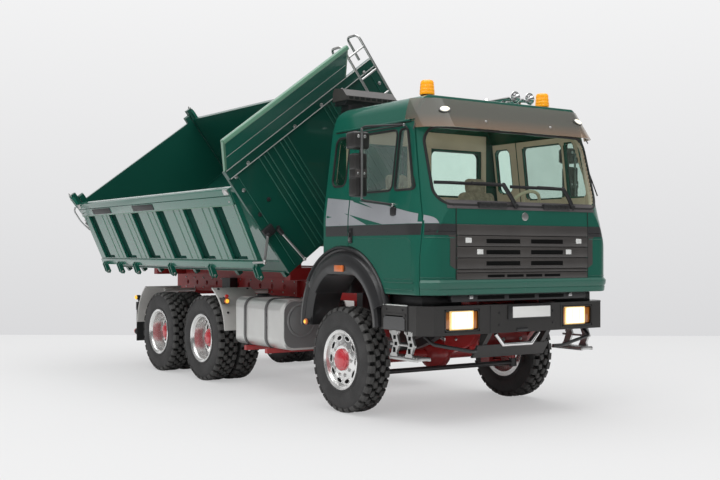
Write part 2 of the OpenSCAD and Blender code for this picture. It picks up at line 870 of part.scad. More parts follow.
// Floor: a flat plate over the rails with arches over the front wheels and hinge lugs at the front
floor_z = [96, 99];
floor_y = 79.5;
floor_wide_x = 78;
cab_lug_w = 3;

module cab_floor() {
    wide_y = cab_y - cab_wall - seam;
    color(dark_grey) placed() {
        difference() {
            union() {
                box([rear_zone, -wide_y, floor_z[0]], [floor_wide_x, wide_y, floor_z[1]]);
                box([rear_zone, -floor_y, floor_z[0]], [door_front_x, floor_y, floor_z[1]]);
                both_sides() across(-wide_y, -fender_y[0]) intersection() {
                    translate(arch_centre) circle(arch_r + cab_wall);
                    translate([rear_zone, floor_z[0]]) square([door_front_x - rear_zone, arch_r]);
                }
            }
            both_sides() across(-cab_y, -fender_y[0]) translate(arch_centre) circle(arch_r);
        }
        both_sides() {
            box([cab_pivot[0] - cab_ear_r, -cab_ear_y + side_clear, cab_pivot[2]],
                [cab_pivot[0], -cab_ear_y + side_clear + cab_lug_w, floor_z[0]]);
            bar_y([cab_pivot[0], -cab_ear_y - cab_ear_w, cab_pivot[2]], cab_ear_w + cab_lug_w, cab_pin_r);
        }
    }
}

// Glass panes of the cab, following its form inside the walls
pane_inset = [0.8, 1.8];

module pane_form() {
    difference() {
        cab_form(pane_inset[0]);
        cab_form(pane_inset[1]);
    }
}

module cab_glass() {
    color(glass_tint) placed() intersection() {
        pane_form();
        union() {
            along(screen_foot[0] / 2, cab_front_x) screen_outline(0);
            along(cab_rear_x, rear_zone) rear_windows(0);
            across(-cab_y, cab_y) quarter_window(0);
        }
    }
}

// Grille with its bands and slots, and the cross piece under the cab's front
grille_t = 5;
slat_z = [103.8, 111.4, 118.9, 126.1];
slat_gap = 0.9;
slat_depth = 1.2;
slot_span = [5, 35.5];
slot_h = 3;
cross_piece = [[94.6, -62, 83.5], [96.6, 62, cab_low]];

module grille() {
    color(black) placed() {
        difference() {
            box([grille_x - grille_t, -grille_y, grille_z[0]], [grille_x, grille_y, grille_z[1]]);
            for (z = slat_z)
                box([grille_x - slat_depth, -grille_y - cut, z - slat_gap / 2],
                    [grille_x + cut, grille_y + cut, z + slat_gap / 2]);
            for (k = [1:len(slat_z) - 1]) both_sides()
                box([grille_x - slat_depth, -slot_span[1], (slat_z[k - 1] + slat_z[k] - slot_h) / 2],
                    [grille_x + cut, -slot_span[0], (slat_z[k - 1] + slat_z[k] + slot_h) / 2]);
        }
        box(cross_piece[0], cross_piece[1]);
    }
}

// Wheel arch flares of the front wheels, with liners
fender_y = [60, 87.5];
fender_t = 2;
fender_front_low = 69;
fender_rear_low = 60;
fender_face = 8;

// Arch opening and its outer edge in (x, z), legs straight below the arch's centre
module arch_region(r) {
    translate(arch_centre) circle(r);
    translate([arch_centre[0] - r, arch_centre[1] - r]) square([2 * r, r]);
}

module fender_trim() {
    translate([arch_centre[0], fender_front_low]) square([2 * arch_r, 2 * arch_r]);
    translate([arch_centre[0] - 2 * arch_r, fender_rear_low]) square([2 * arch_r + cut, 2 * arch_r]);
}

module fenders() {
    color(black) placed() both_sides() difference() {
        union() {
            across(-fender_y[1], -fender_y[1] + fender_face) intersection() {
                difference() {
                    translate(arch_centre) circle(arch_r);
                    arch_region(arch_inner_r);
                }
                fender_trim();
            }
            across(-fender_y[1], -fender_y[0]) intersection() {
                difference() {
                    arch_region(arch_inner_r + fender_t);
                    arch_region(arch_inner_r);
                }
                fender_trim();
            }
        }
        box([step_box_x - side_clear, -2 * cab_y, 0], [door_front_x, -fender_y[0] / 2,
            bumper_z[1] + side_clear]);
    }
}

// Amber marker lamps on the flares
marker_half = [3.6, 2];
marker_t = 1.2;
marker_place = [-3, 104];
rear_marker = [-44, 63];

module marker_lamps() {
    both_sides() {
        box([marker_place[0] - marker_half[0], -fender_y[1] - marker_t, marker_place[1] - marker_half[1]],
            [marker_place[0] + marker_half[0], -fender_y[1], marker_place[1] + marker_half[1]]);
        bar_y([rear_marker[0], -fender_y[1] - marker_t, rear_marker[1]], marker_t, marker_half[1]);
    }
}

// Tinted sun visor above the windscreen, a bent sheet on two side brackets
visor_t = 1.2;
visor_rake = -36;
visor_foot = [97, 197.5];
visor_z = [197.5, 218];
visor_back_x = 70;
visor_side_x = 78;
visor_y = 82;

module visor_form(inset) {
    translate([visor_foot[0] - inset, 0, visor_foot[1]]) rotate([0, visor_rake, 0])
        translate([0, 0, -cab_top]) linear_extrude(2 * cab_top)
        rounded([[-cab_top, -visor_y + inset], [0, -visor_y + inset], [0, visor_y - inset], [-cab_top,
            visor_y - inset]],
            [foot_round, screen_round, screen_round, foot_round]);
}

module sun_visor() {
    color([0.25, 0.24, 0.2, 0.8]) placed() difference() {
        intersection() {
            visor_form(0);
            box([visor_back_x, -visor_y, visor_z[0]], [visor_foot[0], visor_y, visor_z[1]]);
        }
        visor_form(visor_t);
        cab_form(0);
        box([visor_back_x - cut, -2 * visor_y, 0],
            [visor_side_x, 2 * visor_y, gutter_z + seam]);
    }
}

// Roof beacons and air horns
beacon_place = [59.3, 54.3];
beacon_r = 5.2;
beacon_base_r = 4;
beacon_top = 233.5;
beacon_base_h = 3;
horn_y = [21.5, 35.5];
horn_x = [34, 66];
horn_z = 227;
horn_r = [1.2, 4];
horn_bell = 12;
horn_foot_w = 3;

module beacons() {
    both_sides() {
        translate([beacon_place[0], -beacon_place[1], cab_top]) cylinder(r = beacon_base_r,
            h = beacon_base_h);
        translate([beacon_place[0], -beacon_place[1], cab_top + beacon_base_h])
            cylinder(r = beacon_r, h = beacon_top - cab_top - beacon_base_h);
    }
}

module cab_lamps() {
    color(amber) placed() {
        marker_lamps();
        beacons();
    }
}

module roof_horns() {
    color(silver) placed() for (y = horn_y) {
        bar_x([horn_x[0], y, horn_z], horn_x[1] - horn_x[0] - horn_bell, horn_r[0]);
        translate([horn_x[1] - horn_bell, y, horn_z]) rotate([0, 90, 0]) cylinder(r1 = horn_r[0],
            r2 = horn_r[1], h = horn_bell);
        box([horn_x[0] + horn_foot_w, y - horn_foot_w / 2, cab_top], [horn_x[0] + 3 * horn_foot_w,
            y + horn_foot_w / 2, horn_z]);
    }
}

// Wipers lying on the screen: pivot place and blade reach along Y, blade height up the screen
wiper_table = [[-11, -66, -15, 17], [44, -9, 39, 15]];
wiper_r = 1;
wiper_lift = 1;
wiper_foot_r = 2.2;

module on_screen() {
    translate([screen_foot[0], 0, screen_foot[1]]) rotate([0, -screen_rake, 0]) children();
}

module wipers() {
    color(black) placed() on_screen() for (w = wiper_table) {
        bar([0, w[0], -wiper_foot_r], [wiper_lift + wiper_r, w[0], -wiper_foot_r], wiper_foot_r);
        bar([wiper_lift, w[0], -wiper_foot_r], [wiper_lift, w[2], w[3]], wiper_r);
        bar([wiper_lift, w[1], w[3]], [wiper_lift, w[2], w[3]], wiper_r);
        translate([wiper_lift, w[2], w[3]]) sphere(wiper_r);
    }
}

// Dashboard with the steering wheel, and the seats
dash_x = [70, 92];
dash_y = 70;
dash_top = 141;
wheel_centre = [56, 38, 149];
wheel_r = 14;
wheel_tube_r = 1.3;
wheel_tilt = 35;
column_r = 2;
seat_y = 38;
seat_half = 17;
seat_x = [8, 46];
seat_z = [112, 130];
seat_back_t = 9;
seat_back_top = 176;
seat_lean = 8;
seat_r = 4;
seat_leg = 10;

module dashboard() {
    spoke_w = 2 * column_r;
    across(-dash_y, dash_y) rounded([[dash_x[0] + seat_r, floor_z[1]], [dash_x[1] - seat_r, floor_z[1]],
        [dash_x[1], dash_top], [dash_x[0], dash_top]], [foot_round, foot_round, seat_r, seat_r]);
    translate(wheel_centre) rotate([0, -wheel_tilt, 0]) {
        rotate_extrude() translate([wheel_r, 0]) circle(wheel_tube_r);
        for (turn = [0, 120, 240]) rotate([0, 0, turn]) translate([0, -spoke_w / 2, -wheel_tube_r / 2])
            cube([wheel_r, spoke_w, wheel_tube_r]);
        rotate([180, 0, 0]) cylinder(r = column_r, h = 2 * wheel_r);
    }
}

module seats() {
    both_sides() {
        across(-seat_y - seat_half, -seat_y + seat_half)
            rounded_rect([seat_x[0], seat_z[0]], [seat_x[1], seat_z[1]], seat_r);
        across(-seat_y - seat_half, -seat_y + seat_half) translate([seat_x[0],
            seat_z[1] - seat_r]) rotate(seat_lean)
            rounded_rect([-seat_r, 0], [seat_back_t - seat_r, seat_back_top - seat_z[1]], seat_r);
        box([seat_x[0] + seat_leg, -seat_y - seat_leg, floor_z[1]], [seat_x[1] - seat_leg,
            -seat_y + seat_leg, seat_z[0]]);
    }
}

module cab_interior() {
    color(dark_grey) placed() {
        dashboard();
        seats();
    }
}

// Doors with their panes and mirrors
mirror_y = [94, 107];
mirror_upper = [[36, 184.5], [48, 196.5]];
mirror_middle = [[38, 168], [47, 181.5]];
mirror_lower = [[38, 152.5], [47, 166.5]];
mirror_clamp = [4, 3];
mirror_r = 2.5;
mirror_arm_r = 1.2;
mirror_arm_x = 62;
mirror_top_z = 199;
mirror_low_z = 150;

module door() {
    difference() {
        intersection() {
            cab_shell();
            across(-2 * cab_y, 0) door_outline(0);
            box([0, -cab_y, cab_low], [cab_front_x, 0, gutter_z]);
        }
        across(-2 * cab_y, 0) door_windows(0);
    }
}

module door_pane() {
    intersection() {
        pane_form();
        across(-2 * cab_y, 0) door_windows(0);
    }
}

function door_side_y(z) = cab_y - (z > belt_z ? (z - belt_z) * (cab_y - gutter_y) / (gutter_z - belt_z) : 0);

module mirrors() {
    middle = (mirror_y[0] + mirror_y[1]) / 2;
    pole_x = (mirror_lower[0][0] + mirror_lower[1][0]) / 2;
    across(-mirror_y[1], -mirror_y[0]) {
        rounded_rect(mirror_upper[0], mirror_upper[1], mirror_r);
        rounded_rect(mirror_middle[0], mirror_middle[1], mirror_r);
        rounded_rect(mirror_lower[0], mirror_lower[1], mirror_r);
    }
    clamp_z = (mirror_lower[1][1] + mirror_middle[0][1]) / 2;
    across(-middle - mirror_clamp[0], -middle + mirror_clamp[0])
        rounded_rect([pole_x - mirror_clamp[0], clamp_z - mirror_clamp[1]],
            [pole_x + mirror_clamp[0], clamp_z + mirror_clamp[1]], mirror_arm_r);
    bar([pole_x, -middle, mirror_low_z], [pole_x, -middle, mirror_top_z], mirror_arm_r);
    for (z = [mirror_low_z, mirror_top_z]) {
        translate([pole_x, -middle, z]) sphere(mirror_arm_r);
        bar([pole_x, -middle, z], [mirror_arm_x, -door_side_y(z), z], mirror_arm_r);
    }
}

module door_right() { color(green) placed() door(); }
module door_left() { color(green) placed() mirror([0, 1, 0]) door(); }
module door_glass_right() { color(glass_tint) placed() door_pane(); }
module door_glass_left() { color(glass_tint) placed() mirror([0, 1, 0]) door_pane(); }
module mirrors_right() { color(black) placed() mirrors(); }
module mirrors_left() { color(black) placed() mirror([0, 1, 0]) mirrors(); }

// Steering knuckles and tie rod
knuckle_h = fork_h - 2 * fork_ear_t - 2 * side_clear;
knuckle_r = 4.5;
hub_depth = 8;
hub_end = front_face_y - hub_depth;
arm_x = 20;
arm_z = [33, 36];
arm_w = 4;
rod_r = 1.8;
rod_end_r = 3;

module knuckle() {
    translate([0, -king_y, axle_z - knuckle_h / 2]) cylinder(r = knuckle_r, h = knuckle_h);
    translate([0, -king_y, axle_z - fork_h / 2]) cylinder(r = king_r, h = fork_h);
    bar_y([0, -hub_end, axle_z], hub_end - king_y, spindle_r);
    box([0, -king_y - arm_w / 2, arm_z[0]], [arm_x, -king_y + arm_w / 2, arm_z[1]]);
    translate([arm_x, -king_y, arm_z[0]]) cylinder(r = arm_w / 2, h = arm_z[1] - arm_z[0]);
}

module knuckle_right() { color(red) placed() knuckle(); }
module knuckle_left() { color(red) placed() mirror([0, 1, 0]) knuckle(); }

module tie_rod() {
    rod_z = arm_z[0] - side_clear - rod_end_r;
    color(black) placed() {
        bar_y([arm_x, -king_y, rod_z], 2 * king_y, rod_r);
        both_sides() translate([arm_x, -king_y, rod_z - rod_end_r]) cylinder(r = rod_end_r,
            h = 2 * rod_end_r);
    }
}

// Tyres and rims
flange_h = 2.2;
bead_r = rim_r - flange_h;
tyre_shoulder = 4;
shoulder_share = 0.3;
tyre_wall_in = 1.6;
rim_t = 1.6;
flange_w = 1.4;
disc_t = 2;
front_disc_depth = 3.5;
rear_disc_depth = 13;
hub_r = 8.2;
hub_reach = 5;
vent_half = [1.4, 2.7];
vent_round = 1.3;
vent_count = 10;
vent_pcd_r = 15.4;

// Tyre from y = 0 at its outer face inwards
module tyre() {
    step = tyre_shoulder * shoulder_share;
    rotate([-90, 0, 0]) rotate_extrude() difference() {
        polygon([
            [bead_r, tyre_wall_in], [tyre_r - tyre_shoulder, 0], [tyre_r - step, step], [tyre_r, tyre_shoulder],
            [tyre_r, tyre_w - tyre_shoulder], [tyre_r - step, tyre_w - step], [tyre_r - tyre_shoulder, tyre_w],
            [bead_r, tyre_w - tyre_wall_in]
        ]);
        translate([0, 2 * tyre_wall_in]) square([rim_r + rim_t, tyre_w - 4 * tyre_wall_in]);
    }
}

// Rim from y = 0 at the tyre's outer face inwards: flanges, well, vented disc and hub
module rim(disc_depth, hub_top, hub_low) {
    difference() {
        rotate([-90, 0, 0]) {
            rotate_extrude() {
                polygon([
                    [bead_r - rim_t, 0], [rim_r, 0], [rim_r, flange_w], [bead_r, flange_w], [bead_r,
                        2 * tyre_wall_in],
                    [bead_r, tyre_w - flange_w], [rim_r, tyre_w - flange_w], [rim_r, tyre_w],
                        [bead_r - rim_t, tyre_w]
                ]);
                translate([0, disc_depth]) square([bead_r, disc_t]);
                translate([0, hub_top]) square([hub_r, hub_low - hub_top]);
            }
        }
        for (k = [0:vent_count - 1]) rotate([0, k * 360 / vent_count, 0])
            across(disc_depth - cut, disc_depth + disc_t + cut)
                rounded_rect([vent_pcd_r - vent_half[0], -vent_half[1]],
                    [vent_pcd_r + vent_half[0], vent_half[1]], vent_round);
    }
}

module front_tyre() { translate([0, -front_face_y, axle_z]) tyre(); }
module twin_tyres(x) {
    for (inner = [0, 1]) translate([x, -rear_face_y + inner * (tyre_w + twin_gap), axle_z]) tyre();
}
module front_rim() {
    difference() {
        translate([0, -front_face_y, axle_z]) rim(front_disc_depth, -hub_reach / 2,
            front_disc_depth + tyre_w / 2);
        bar_y([0, -hub_end - pin_clear, axle_z], tyre_w, spindle_r + pin_clear);
    }
}
module twin_rims(x) {
    inner_y = -rear_face_y + tyre_w + twin_gap;
    difference() {
        union() {
            translate([x, -rear_face_y, axle_z]) rim(rear_disc_depth, rear_disc_depth - hub_reach,
                tyre_w + twin_gap);
            translate([x, inner_y, axle_z]) rim(0, 0, tyre_w);
            bar_y([x, -rear_face_y + tyre_w - flange_w, axle_z], twin_gap + 2 * flange_w,
                bead_r - rim_t / 2);
        }
        bar_y([x, -spindle_end - pin_clear, axle_z], spindle_end, spindle_r + pin_clear);
    }
}

module tyre_front_right() { color(black) placed() front_tyre(); }
module tyre_front_left() { color(black) placed() mirror([0, 1, 0]) front_tyre(); }
module rim_front_right() { color(silver) placed() front_rim(); }
module rim_front_left() { color(silver) placed() mirror([0, 1, 0]) front_rim(); }
module tyre_rear1_right() { color(black) placed() twin_tyres(rear1_x); }
module tyre_rear1_left() { color(black) placed() mirror([0, 1, 0]) twin_tyres(rear1_x); }
module rim_rear1_right() { color(silver) placed() twin_rims(rear1_x); }
module rim_rear1_left() { color(silver) placed() mirror([0, 1, 0]) twin_rims(rear1_x); }
module tyre_rear2_right() { color(black) placed() twin_tyres(rear2_x); }
module tyre_rear2_left() { color(black) placed() mirror([0, 1, 0]) twin_tyres(rear2_x); }
module rim_rear2_right() { color(silver) placed() twin_rims(rear2_x); }
module rim_rear2_left() { color(silver) placed() mirror([0, 1, 0]) twin_rims(rear2_x); }

// Bed, drawn lowered and then tipped about the right pivots
module tipped() {
    translate([0, -pivot_y, pivot_z]) rotate([tip_angle, 0, 0])
        translate([0, pivot_y, -pivot_z]) children();
}

floor_top = bed_low + floor_h;
floor_t = 2;
head_t = 3;
head_over = 1.2;
head_y = bed_w / 2 + head_over;
post_t = 6;
post_x = bed_rear_x + post_t;
floor_x = [post_x, head_x - head_t];
sill_y = [20.5, 28.5];
sill_low = rail_top + subframe_h + side_clear;
beam_count = 9;
beam_t = 4;
lug_t = 3;
lug_r = 5;
socket_drop = 5.5;
socket_gap = 4;
socket_t = 3;
catch_shares = [0.03, 0.145, 0.265, 0.5, 0.74, 0.97];
catch_size = [5, 4, 5];

module pivot_lugs(x) {
    for (side = [-1, 1]) {
        start = side > 0 ? yoke_w / 2 + side_clear : -yoke_w / 2 - side_clear - lug_t;
        bar_x([x + start, -pivot_y, pivot_z], lug_t, lug_r);
        box([x + start, -pivot_y - lug_r, pivot_z], [x + start + lug_t, -pivot_y + lug_r, bed_low]);
    }
    bar_x([x - yoke_w / 2 - side_clear, -pivot_y, pivot_z], yoke_w + 2 * side_clear, pivot_r);
}

module bed_floor() {
    length = floor_x[1] - floor_x[0];
    color(green) placed() tipped() {
        difference() {
            box([floor_x[0], -bed_w / 2, bed_low], [floor_x[1], bed_w / 2, floor_top]);
            for (k = [0:beam_count - 1]) {
                bay = (length - beam_t) / beam_count;
                box([floor_x[0] + beam_t + k * bay, -bed_w / 2 + beam_t, bed_low - cut],
                    [floor_x[0] + (k + 1) * bay, bed_w / 2 - beam_t, floor_top - floor_t]);
            }
        }
        both_sides() {
            box([floor_x[0], -sill_y[1], sill_low], [floor_x[1], -sill_y[0], bed_low + floor_t]);
            for (x = [yoke_front_x, yoke_rear_x]) {
                pivot_lugs(x);
                box([x - yoke_w / 2 - side_clear - lug_t, -pivot_y - lug_r, bed_low],
                    [x + yoke_w / 2 + side_clear + lug_t, -pivot_y + lug_r, bed_low + floor_t]);
            }
            for (share = catch_shares)
                translate([floor_x[0] + share * length - catch_size[0] / 2, -bed_w / 2,
                    bed_low - catch_size[2]])
                    cube(catch_size + [0, 0, floor_t]);
            rear_post();
        }
        for (side = [-1, 1])
            let (near = hoist_x + side * (socket_gap + side_clear), far = near + side * socket_t)
                box([min(near, far), -lug_r, bed_low - socket_drop - lug_r],
                    [max(near, far), lug_r, floor_top - floor_t]);
    }
}

// Boards and tailgate, hung from pins at their tops
board_t = 4;
board_gap = 0.8;
board_x = [-422.8, -89.9];
hinge_pin_r = 1.5;
hinge_in = 2;
hinge_ear_r = 3;
hinge_pin_reach = 5;
hinge_y = bed_w / 2 - board_t / 2;
board_low = floor_top + board_gap;
board_top = board_low + board_h;
hinge_z = board_top - hinge_in;
slot_count = 6;
slot_w = 16;
slot_first = 20.8;
slot_pitch = 56;
slot_depth = 2.4;
slot_z = [7.4, 52.9];
post_w = 5.7;
post_y = [head_y - post_w, head_y];
post_top = 92;
gate_hinge_rise = 7;
gate_hinge_z = hinge_z + gate_hinge_rise;
gate_x = [-428.5, -424.5];
gate_gap = 0.7;
gate_y = post_y[0] - gate_gap;
gate_ear_w = 6;
gate_axis_x = (gate_x[0] + gate_x[1]) / 2;

module rear_post() {
    difference() {
        box([bed_rear_x, -post_y[1], bed_low], [post_x, -post_y[0], bed_low + post_top]);
        bar_x([bed_rear_x - cut, -hinge_y, hinge_z], post_x - bed_rear_x + 2 * cut,
            hinge_pin_r + pin_clear);
        bar_y([gate_axis_x, -post_y[1] - cut, gate_hinge_z], post_y[1] - post_y[0] + 2 * cut,
            hinge_pin_r + pin_clear);
    }
}

module board() {
    difference() {
        box([board_x[0], -bed_w / 2, board_low], [board_x[1], -bed_w / 2 + board_t, board_top]);
        for (k = [0:slot_count - 1])
            let (x = board_x[0] + slot_first + k * slot_pitch)
                box([x - slot_w / 2, -bed_w / 2 - cut, board_low + slot_z[0]],
                    [x + slot_w / 2, -bed_w / 2 + slot_depth, board_low + slot_z[1]]);
    }
    bar_x([board_x[1] - cut, -hinge_y, hinge_z], hinge_pin_reach + cut, hinge_pin_r);
    bar_x([board_x[0] - hinge_pin_reach, -hinge_y, hinge_z], hinge_pin_reach + cut, hinge_pin_r);
}

module board_right() {
    color(green) placed() tipped() translate([0, -hinge_y, hinge_z]) rotate([-board_angle, 0, 0])
        translate([0, hinge_y, -hinge_z]) board();
}
module board_left() { color(green) placed() tipped() mirror([0, 1, 0]) board(); }

module tailgate() {
    color(green) placed() tipped() {
        difference() {
            box([gate_x[0], -gate_y, board_low], [gate_x[1], gate_y, board_top]);
            for (k = [1:slot_count / 2])
                let (y = -gate_y + k * 2 * gate_y / (slot_count / 2 + 1))
                    box([gate_x[0] - cut, y - slot_w / 2, board_low + slot_z[0]],
                        [gate_x[0] + slot_depth, y + slot_w / 2, board_low + slot_z[1]]);
        }
        both_sides() {
            box([gate_x[0], -gate_y, board_top - cut], [gate_x[1], -gate_y + gate_ear_w, gate_hinge_z]);
            bar_y([gate_axis_x, -gate_y, gate_hinge_z], gate_ear_w, hinge_in);
            bar_y([gate_axis_x, -post_y[1] + cut, gate_hinge_z], post_y[1] - gate_y, hinge_pin_r);
        }
    }
}

// Headboard with its leaning top and board ears, and the ladder on its left
extension_span = 133.8;
extension_t = 2;
head_rail_h = 7;
head_rail_t = 2.4;

module headboard() {
    top = bed_low + head_h;
    color(green) placed() tipped() {
        box([head_x - head_t, -head_y, bed_low], [head_x, head_y, top]);
        box([head_x, -head_y, top - head_rail_h], [head_x + head_rail_t, head_y, top]);
        across(-bed_w / 2, -bed_w / 2 + extension_span) polygon([
            [head_x - extension_t, top], [head_x, top],
            [head_x + extension_run, bed_low + extension_h], [head_x + extension_run - extension_t,
                bed_low + extension_h]
        ]);
        both_sides() difference() {
            bar_x([floor_x[1] - hinge_pin_reach, -hinge_y, hinge_z], hinge_pin_reach, hinge_ear_r);
            bar_x([floor_x[1] - hinge_pin_reach - cut, -hinge_y, hinge_z], 2 * hinge_pin_reach,
                hinge_pin_r + pin_clear);
        }
    }
}

ladder_y = [58.8, 77.8];
ladder_out = 9;
ladder_back = 7;
ladder_x = head_x + ladder_out;
ladder_back_x = head_x - ladder_back;
ladder_r = 1.1;
ladder_z = [14, 119];
ladder_hook_z = 98;
rung_count = 5;
rung_r = 0.9;

module ladder() {
    low = bed_low + ladder_z[0];
    top = bed_low + ladder_z[1];
    color(silver) placed() tipped() {
        for (y = ladder_y) {
            bar([ladder_x, y, low], [ladder_x, y, top], ladder_r);
            bar([ladder_back_x, y, top], [ladder_x, y, top], ladder_r);
            bar([ladder_back_x, y, bed_low + ladder_hook_z], [ladder_back_x, y, top], ladder_r);
            bar([head_x, y, low], [ladder_x, y, low], ladder_r);
            for (p = [[ladder_x, y, low], [ladder_x, y, top], [ladder_back_x, y, top]])
                translate(p) sphere(ladder_r);
        }
        for (k = [0:rung_count - 1])
            bar_y([ladder_x, ladder_y[0], low + (k + 1 / 2) * (top - low) / rung_count],
                ladder_y[1] - ladder_y[0], rung_r);
    }
}

// Telescopic hoist: a barrel on trunnions and two stages, drawn at the length it has with the bed tipped
function about_pivot(p, a) =
    let (y = p[0] + pivot_y, z = p[1] - pivot_z)
    [y * cos(a) - z * sin(a) - pivot_y, y * sin(a) + z * cos(a) + pivot_z];
eye_lowered = [0, bed_low - socket_drop];
eye_tipped = about_pivot(eye_lowered, tip_angle);
hoist_swing = atan2(-eye_tipped[0], eye_tipped[1] - hoist_z);
hoist_length = norm(eye_tipped - [0, hoist_z]);
hoist_closed = eye_lowered[1] - hoist_z;
stage_shift = (hoist_length - hoist_closed) / 2;
stage_r = [9, 7, 5];
barrel_low = -7;
barrel_neck = 8.5;
stage1_neck = 6;
barrel_top = hoist_closed - barrel_neck;
stage1_top = hoist_closed - stage1_neck;
stage_floor = 1.5;
stage2_low = barrel_low + 2 * stage_floor;
eye_r = 3.5;
socket_neck = 8.5;

module hoisted(shift) {
    translate([hoist_x, 0, hoist_z]) rotate([hoist_swing, 0, 0]) translate([0, 0, shift]) children();
}

module hoist_barrel() {
    color(dark_grey) placed() hoisted(0) {
        difference() {
            translate([0, 0, barrel_low]) cylinder(r = stage_r[0], h = barrel_top - barrel_low);
            translate([0, 0, barrel_low + stage_floor]) cylinder(r = stage_r[1] + pin_clear,
                h = barrel_top - barrel_low);
        }
        for (side = [-1, 1])
            difference() {
                bar([0, 0, 0], [side * (trunnion_gap + trunnion_plate_t / 2), 0, 0], trunnion_r);
                translate([0, 0, barrel_low]) cylinder(r = stage_r[0] - stage_floor / 2,
                    h = barrel_top - barrel_low);
            }
    }
}

module hoist_stage1() {
    low = barrel_low + stage_floor + side_clear;
    color(silver) placed() hoisted(stage_shift) difference() {
        translate([0, 0, low]) cylinder(r = stage_r[1], h = stage1_top - low);
        translate([0, 0, low - cut]) cylinder(r = stage_r[2] + pin_clear, h = stage1_top - low + 2 * cut);
    }
}

module hoist_stage2() {
    neck = hoist_closed - socket_neck;
    color(silver) placed() hoisted(2 * stage_shift) {
        translate([0, 0, stage2_low]) cylinder(r = stage_r[2], h = neck - stage2_low);
        bar_x([-socket_gap, 0, hoist_closed], 2 * socket_gap, eye_r);
        translate([0, 0, neck - cut]) cylinder(r = eye_r, h = socket_neck + cut);
    }
}

frame_rails();
tipper_subframe();
axles();
leaf_springs();
driveline();
fuel_tank();
tank_straps();
battery_box();
mudguards();
mud_flaps();
rear_lamps();
tow_coupling();
bumper();
headlamps();
tow_hoop();
entry_steps();
air_intake();
cab_floor();
cab_rear_wall();
cab_side_panels();
cab_front();
cab_roof();
cab_glass();
grille();
fenders();
cab_lamps();
sun_visor();
roof_horns();
wipers();
cab_interior();
door_right();
door_left();
door_glass_right();
door_glass_left();
mirrors_right();
mirrors_left();
knuckle_right();
knuckle_left();
tie_rod();
tyre_front_right();
tyre_front_left();
rim_front_right();
rim_front_left();
tyre_rear1_right();
tyre_rear1_left();
rim_rear1_right();
rim_rear1_left();
tyre_rear2_right();
tyre_rear2_left();
rim_rear2_right();
rim_rear2_left();
bed_floor();
headboard();
ladder();
board_right();
board_left();
tailgate();
hoist_barrel();
hoist_stage1();
hoist_stage2();
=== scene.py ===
# Looks of the scale model tipper truck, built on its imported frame.
import bmesh
import bpy
import math
from mathutils import Matrix, Vector
from mathutils.bvhtree import BVHTree


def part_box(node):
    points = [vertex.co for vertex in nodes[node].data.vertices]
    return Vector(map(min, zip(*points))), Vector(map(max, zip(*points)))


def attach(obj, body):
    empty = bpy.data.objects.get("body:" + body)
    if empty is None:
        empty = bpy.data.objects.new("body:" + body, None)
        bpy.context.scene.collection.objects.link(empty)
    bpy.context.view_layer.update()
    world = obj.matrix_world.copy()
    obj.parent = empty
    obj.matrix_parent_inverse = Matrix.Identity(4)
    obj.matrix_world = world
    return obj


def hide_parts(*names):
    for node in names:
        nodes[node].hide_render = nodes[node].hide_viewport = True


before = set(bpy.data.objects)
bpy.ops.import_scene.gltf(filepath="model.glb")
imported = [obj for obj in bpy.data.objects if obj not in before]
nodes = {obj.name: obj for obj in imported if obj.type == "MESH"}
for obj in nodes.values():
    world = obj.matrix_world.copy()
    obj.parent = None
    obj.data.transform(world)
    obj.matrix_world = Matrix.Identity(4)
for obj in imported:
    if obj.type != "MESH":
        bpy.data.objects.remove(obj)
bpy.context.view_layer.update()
scene = bpy.context.scene
scene.view_settings.view_transform = "Standard"

# Sizes and places that several pieces share, in the truck's own millimetres
AXLE_Z = 38
REAR_X = (-228.0, -321.5)
FRONT_FACE, REAR_FACE, TWIN_STEP = 87, 86, 21.5
TYRE_WIDE = 19
ARCH = (1, 62)
CAB_CORNER = (78, -60)
TIP_PIVOT, TIP_DEGREES = (-55.2, 109), 36.8
HINGE, HANG_DEGREES = (-80.2, 195.1), -12.7
BOARD_X = (-422.6, -90.2)
RAY_START, RAY_FAR, DECAL_FAR = 250, 300, 400
SIGNS = (1, -1)
AHEAD, BACK, LEFT, RIGHT, UP, DOWN = (1, 0, 0), (-1, 0, 0), (0, 1, 0), (0, -1, 0), (0, 0, 1), (0, 0, -1)


# Places: pieces are built in the truck's own millimetres and then moved to the frame
def middle(name):
    low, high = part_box(name)
    return (Vector(low) + Vector(high)) / 2


def about(pivot, degrees):
    """A turn about a lengthwise axis through a (y, z) point."""
    there = Matrix.Translation((0, *pivot))
    return there @ Matrix.Rotation(math.radians(degrees), 4, "X") @ there.inverted()


wheels = (middle("tyre_front_right") + middle("tyre_front_left")) / 2
HOME = Matrix.Translation((wheels.x, wheels.y, 0)) @ Matrix.Scale(0.001, 4)
MIRROR = Matrix.Diagonal((1, -1, 1, 1))
BED = HOME @ about(TIP_PIVOT, TIP_DEGREES)
BOARD = BED @ about(HINGE, HANG_DEGREES)
SIDES = (("right", HOME), ("left", HOME @ MIRROR))


# Small helpers for points
def spread(a, b, n):
    """n + 1 values from a to b."""
    return [a + (b - a) * k / n for k in range(n + 1)]


def circle(r, n, start=0.0):
    """Points of a round outline."""
    turns = [start + 2 * math.pi * k / n for k in range(n)]
    return [(r * math.cos(a), r * math.sin(a)) for a in turns]


def value_at(value, t):
    """A constant, or a function's value."""
    return value(t) if callable(value) else value


def rounded(pts, bend, closed=False, steps=6):
    """Points of a line whose corners are turned into arcs."""
    out, n = [], len(pts)
    for i, c in enumerate(pts):
        if not closed and i in (0, n - 1):
            out.append(c)
            continue
        p, q = pts[i - 1], pts[(i + 1) % n]
        t = min(bend, (p - c).length * 0.49, (q - c).length * 0.49)
        a, b = c + (p - c).normalized() * t, c + (q - c).normalized() * t
        for s in spread(0, 1, steps):
            out.append(a * (1 - s) ** 2 + c * 2 * s * (1 - s) + b * s ** 2)
    return out


